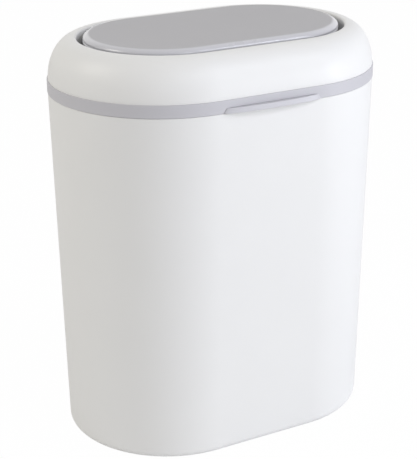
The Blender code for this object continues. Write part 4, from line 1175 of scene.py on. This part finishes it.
def make_latch():
    """The latch under the ledge: a pocket with ears and a window, and the plunger in it."""
    half_x = PLUNGER_WIDTH / 2
    half_y = PLUNGER_DEPTH / 2
    pocket_x = half_x + SEAT_GAP
    pocket_y = half_y + SEAT_GAP
    wall_x = pocket_x + LATCH_WALL
    wall_y = pocket_y + LATCH_WALL
    ear = LATCH_EAR_DEPTH / 2
    housing = latch_block("latch_moulding", wall_x, wall_y, LATCH_LEVEL, LATCH_TOP, FINE_EDGE)
    fuse(housing, latch_block("ears", LATCH_EAR_REACH, ear, EAR_LEVEL, EAR_TOP, FINE_EDGE))
    cut(housing, latch_block("pocket", pocket_x, pocket_y, LATCH_FLOOR, LATCH_TOP + OVERRUN))
    window = LATCH_WINDOW_WIDTH / 2
    window_bottom = LATCH_FLOOR + LATCH_WALL
    window_low = (-window, -LATCH_CENTRE - wall_y - OVERRUN, window_bottom)
    window_high = (window, -LATCH_CENTRE, window_bottom + LATCH_WINDOW_HEIGHT)
    cut(housing, blocks("window", [(window_low, window_high)]))
    drill(housing, latch_screw_places(), EAR_LEVEL - OVERRUN, EAR_TOP + OVERRUN)
    fit(housing, "latch_housing")
    plunger = latch_block("plunger_moulding", half_x, half_y, PLUNGER_LEVEL, PLUNGER_TOP, FINE_EDGE)
    fuse(plunger, pillars("spigot", [(0, -LATCH_CENTRE)], PLUNGER_SPIGOT_RADIUS,
                          PLUNGER_LEVEL - PLUNGER_SPIGOT, PLUNGER_LEVEL + OVERRUN))
    fit(plunger, "latch_plunger")


def make_spring():
    """The coil spring between the pocket's floor and the plunger."""
    bottom = LATCH_FLOOR + SEAT_GAP + SPRING_WIRE_RADIUS
    rise = PLUNGER_LEVEL - SEAT_GAP - SPRING_WIRE_RADIUS - bottom
    count = SPRING_TURNS * SPRING_POINTS_A_TURN
    wire = [2 * pi * side / SPRING_SIDES for side in range(SPRING_SIDES)]
    outlines = []
    for number in range(count + 1):
        turn = 2 * pi * number / SPRING_POINTS_A_TURN
        out = Vector((cos(turn), sin(turn), 0))
        centre = Vector((0, -LATCH_CENTRE, bottom + rise * number / count)) + out * SPRING_RADIUS
        rim = [out * cos(angle) + Vector((0, 0, sin(angle))) for angle in wire]
        outlines.append([centre + point * SPRING_WIRE_RADIUS for point in rim])
    spring = stack("coil_spring", outlines)
    fit(spring, "latch_spring")
    floor = LATCH_FLOOR + SEAT_GAP
    length = PLUNGER_LEVEL - SEAT_GAP - floor
    -LATCH_CENTRE
    1 - PLUNGER_TRAVEL / length
    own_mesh(spring)


def make_floor():
    """A plain pale floor, which keeps the bin's shadow."""
    bm = bmesh.new()
    bmesh.ops.create_circle(bm, cap_ends=True, radius=FLOOR_RADIUS, segments=FLOOR_SIDES)
    floor = new_piece("floor", bm)
    net = Net(bpy.data.materials.new("floor_paper"))
    tone = net.blend(net.noise(*FLOOR_MOTTLE), *[grey(level) for level in FLOOR_TONES])
    paper = net.node("ShaderNodeBsdfDiffuse", {}, {"Color": tone})
    bright = net.node("ShaderNodeEmission", {}, {"Color": grey(1.0), "Strength": 1.0})
    seen = net.node("ShaderNodeLightPath", output="Is Camera Ray")
    mixed = net.node("ShaderNodeMixShader", {}, {0: seen * FLOOR_WHITE, 1: paper, 2: bright})
    net.node("ShaderNodeOutputMaterial", {}, {"Surface": mixed})
    floor.data.materials.append(net.owner)


def make_room():
    """White all round wherever the room is seen, and soft even light from it."""
    world = bpy.data.worlds.new("studio")
    bpy.context.scene.world = world
    net = Net(world)
    seen = net.node("ShaderNodeLightPath", output="Is Camera Ray")
    mirrored = net.node("ShaderNodeLightPath", output="Is Glossy Ray")
    through = net.node("ShaderNodeLightPath", output="Is Transmission Ray")
    white = seen.maths("MAXIMUM", seen.maths("MAXIMUM", seen, mirrored), through)
    room = (*[level * ROOM_LIGHT for level in ROOM_COLOUR], 1)
    colour = net.blend(white, room, grey(1.0))
    backdrop = net.node("ShaderNodeBackground", {}, {"Color": colour, "Strength": 1.0})
    net.node("ShaderNodeOutputWorld", {}, {"Surface": backdrop})


def make_lamp(name, azimuth, elevation, power, colour, size):
    """A square soft lamp that faces the bin."""
    light = bpy.data.lights.new(name, "AREA")
    light.shape = "SQUARE"
    light.size = size
    light.energy = power
    light.color = colour
    lamp = bpy.data.objects.new(name, light)
    aimed(lamp, heading(radians(azimuth), radians(elevation)), LAMP_DISTANCE, CAMERA_AIM)


make_tub()
make_foot_pads()
make_bag_ring()
make_hinge_pin()
make_rim_band()
make_lid_frame()
make_lid_base()
make_seals()
make_latch()
make_spring()
make_pivot_pins()
make_door_panel()
make_door_tray()
make_striker()
make_screws()

make_camera()
make_floor()
make_room()
for lamp_name, lamp in LAMPS.items():
    make_lamp(lamp_name, *lamp)
bpy.context.scene.view_settings.view_transform = "Standard"
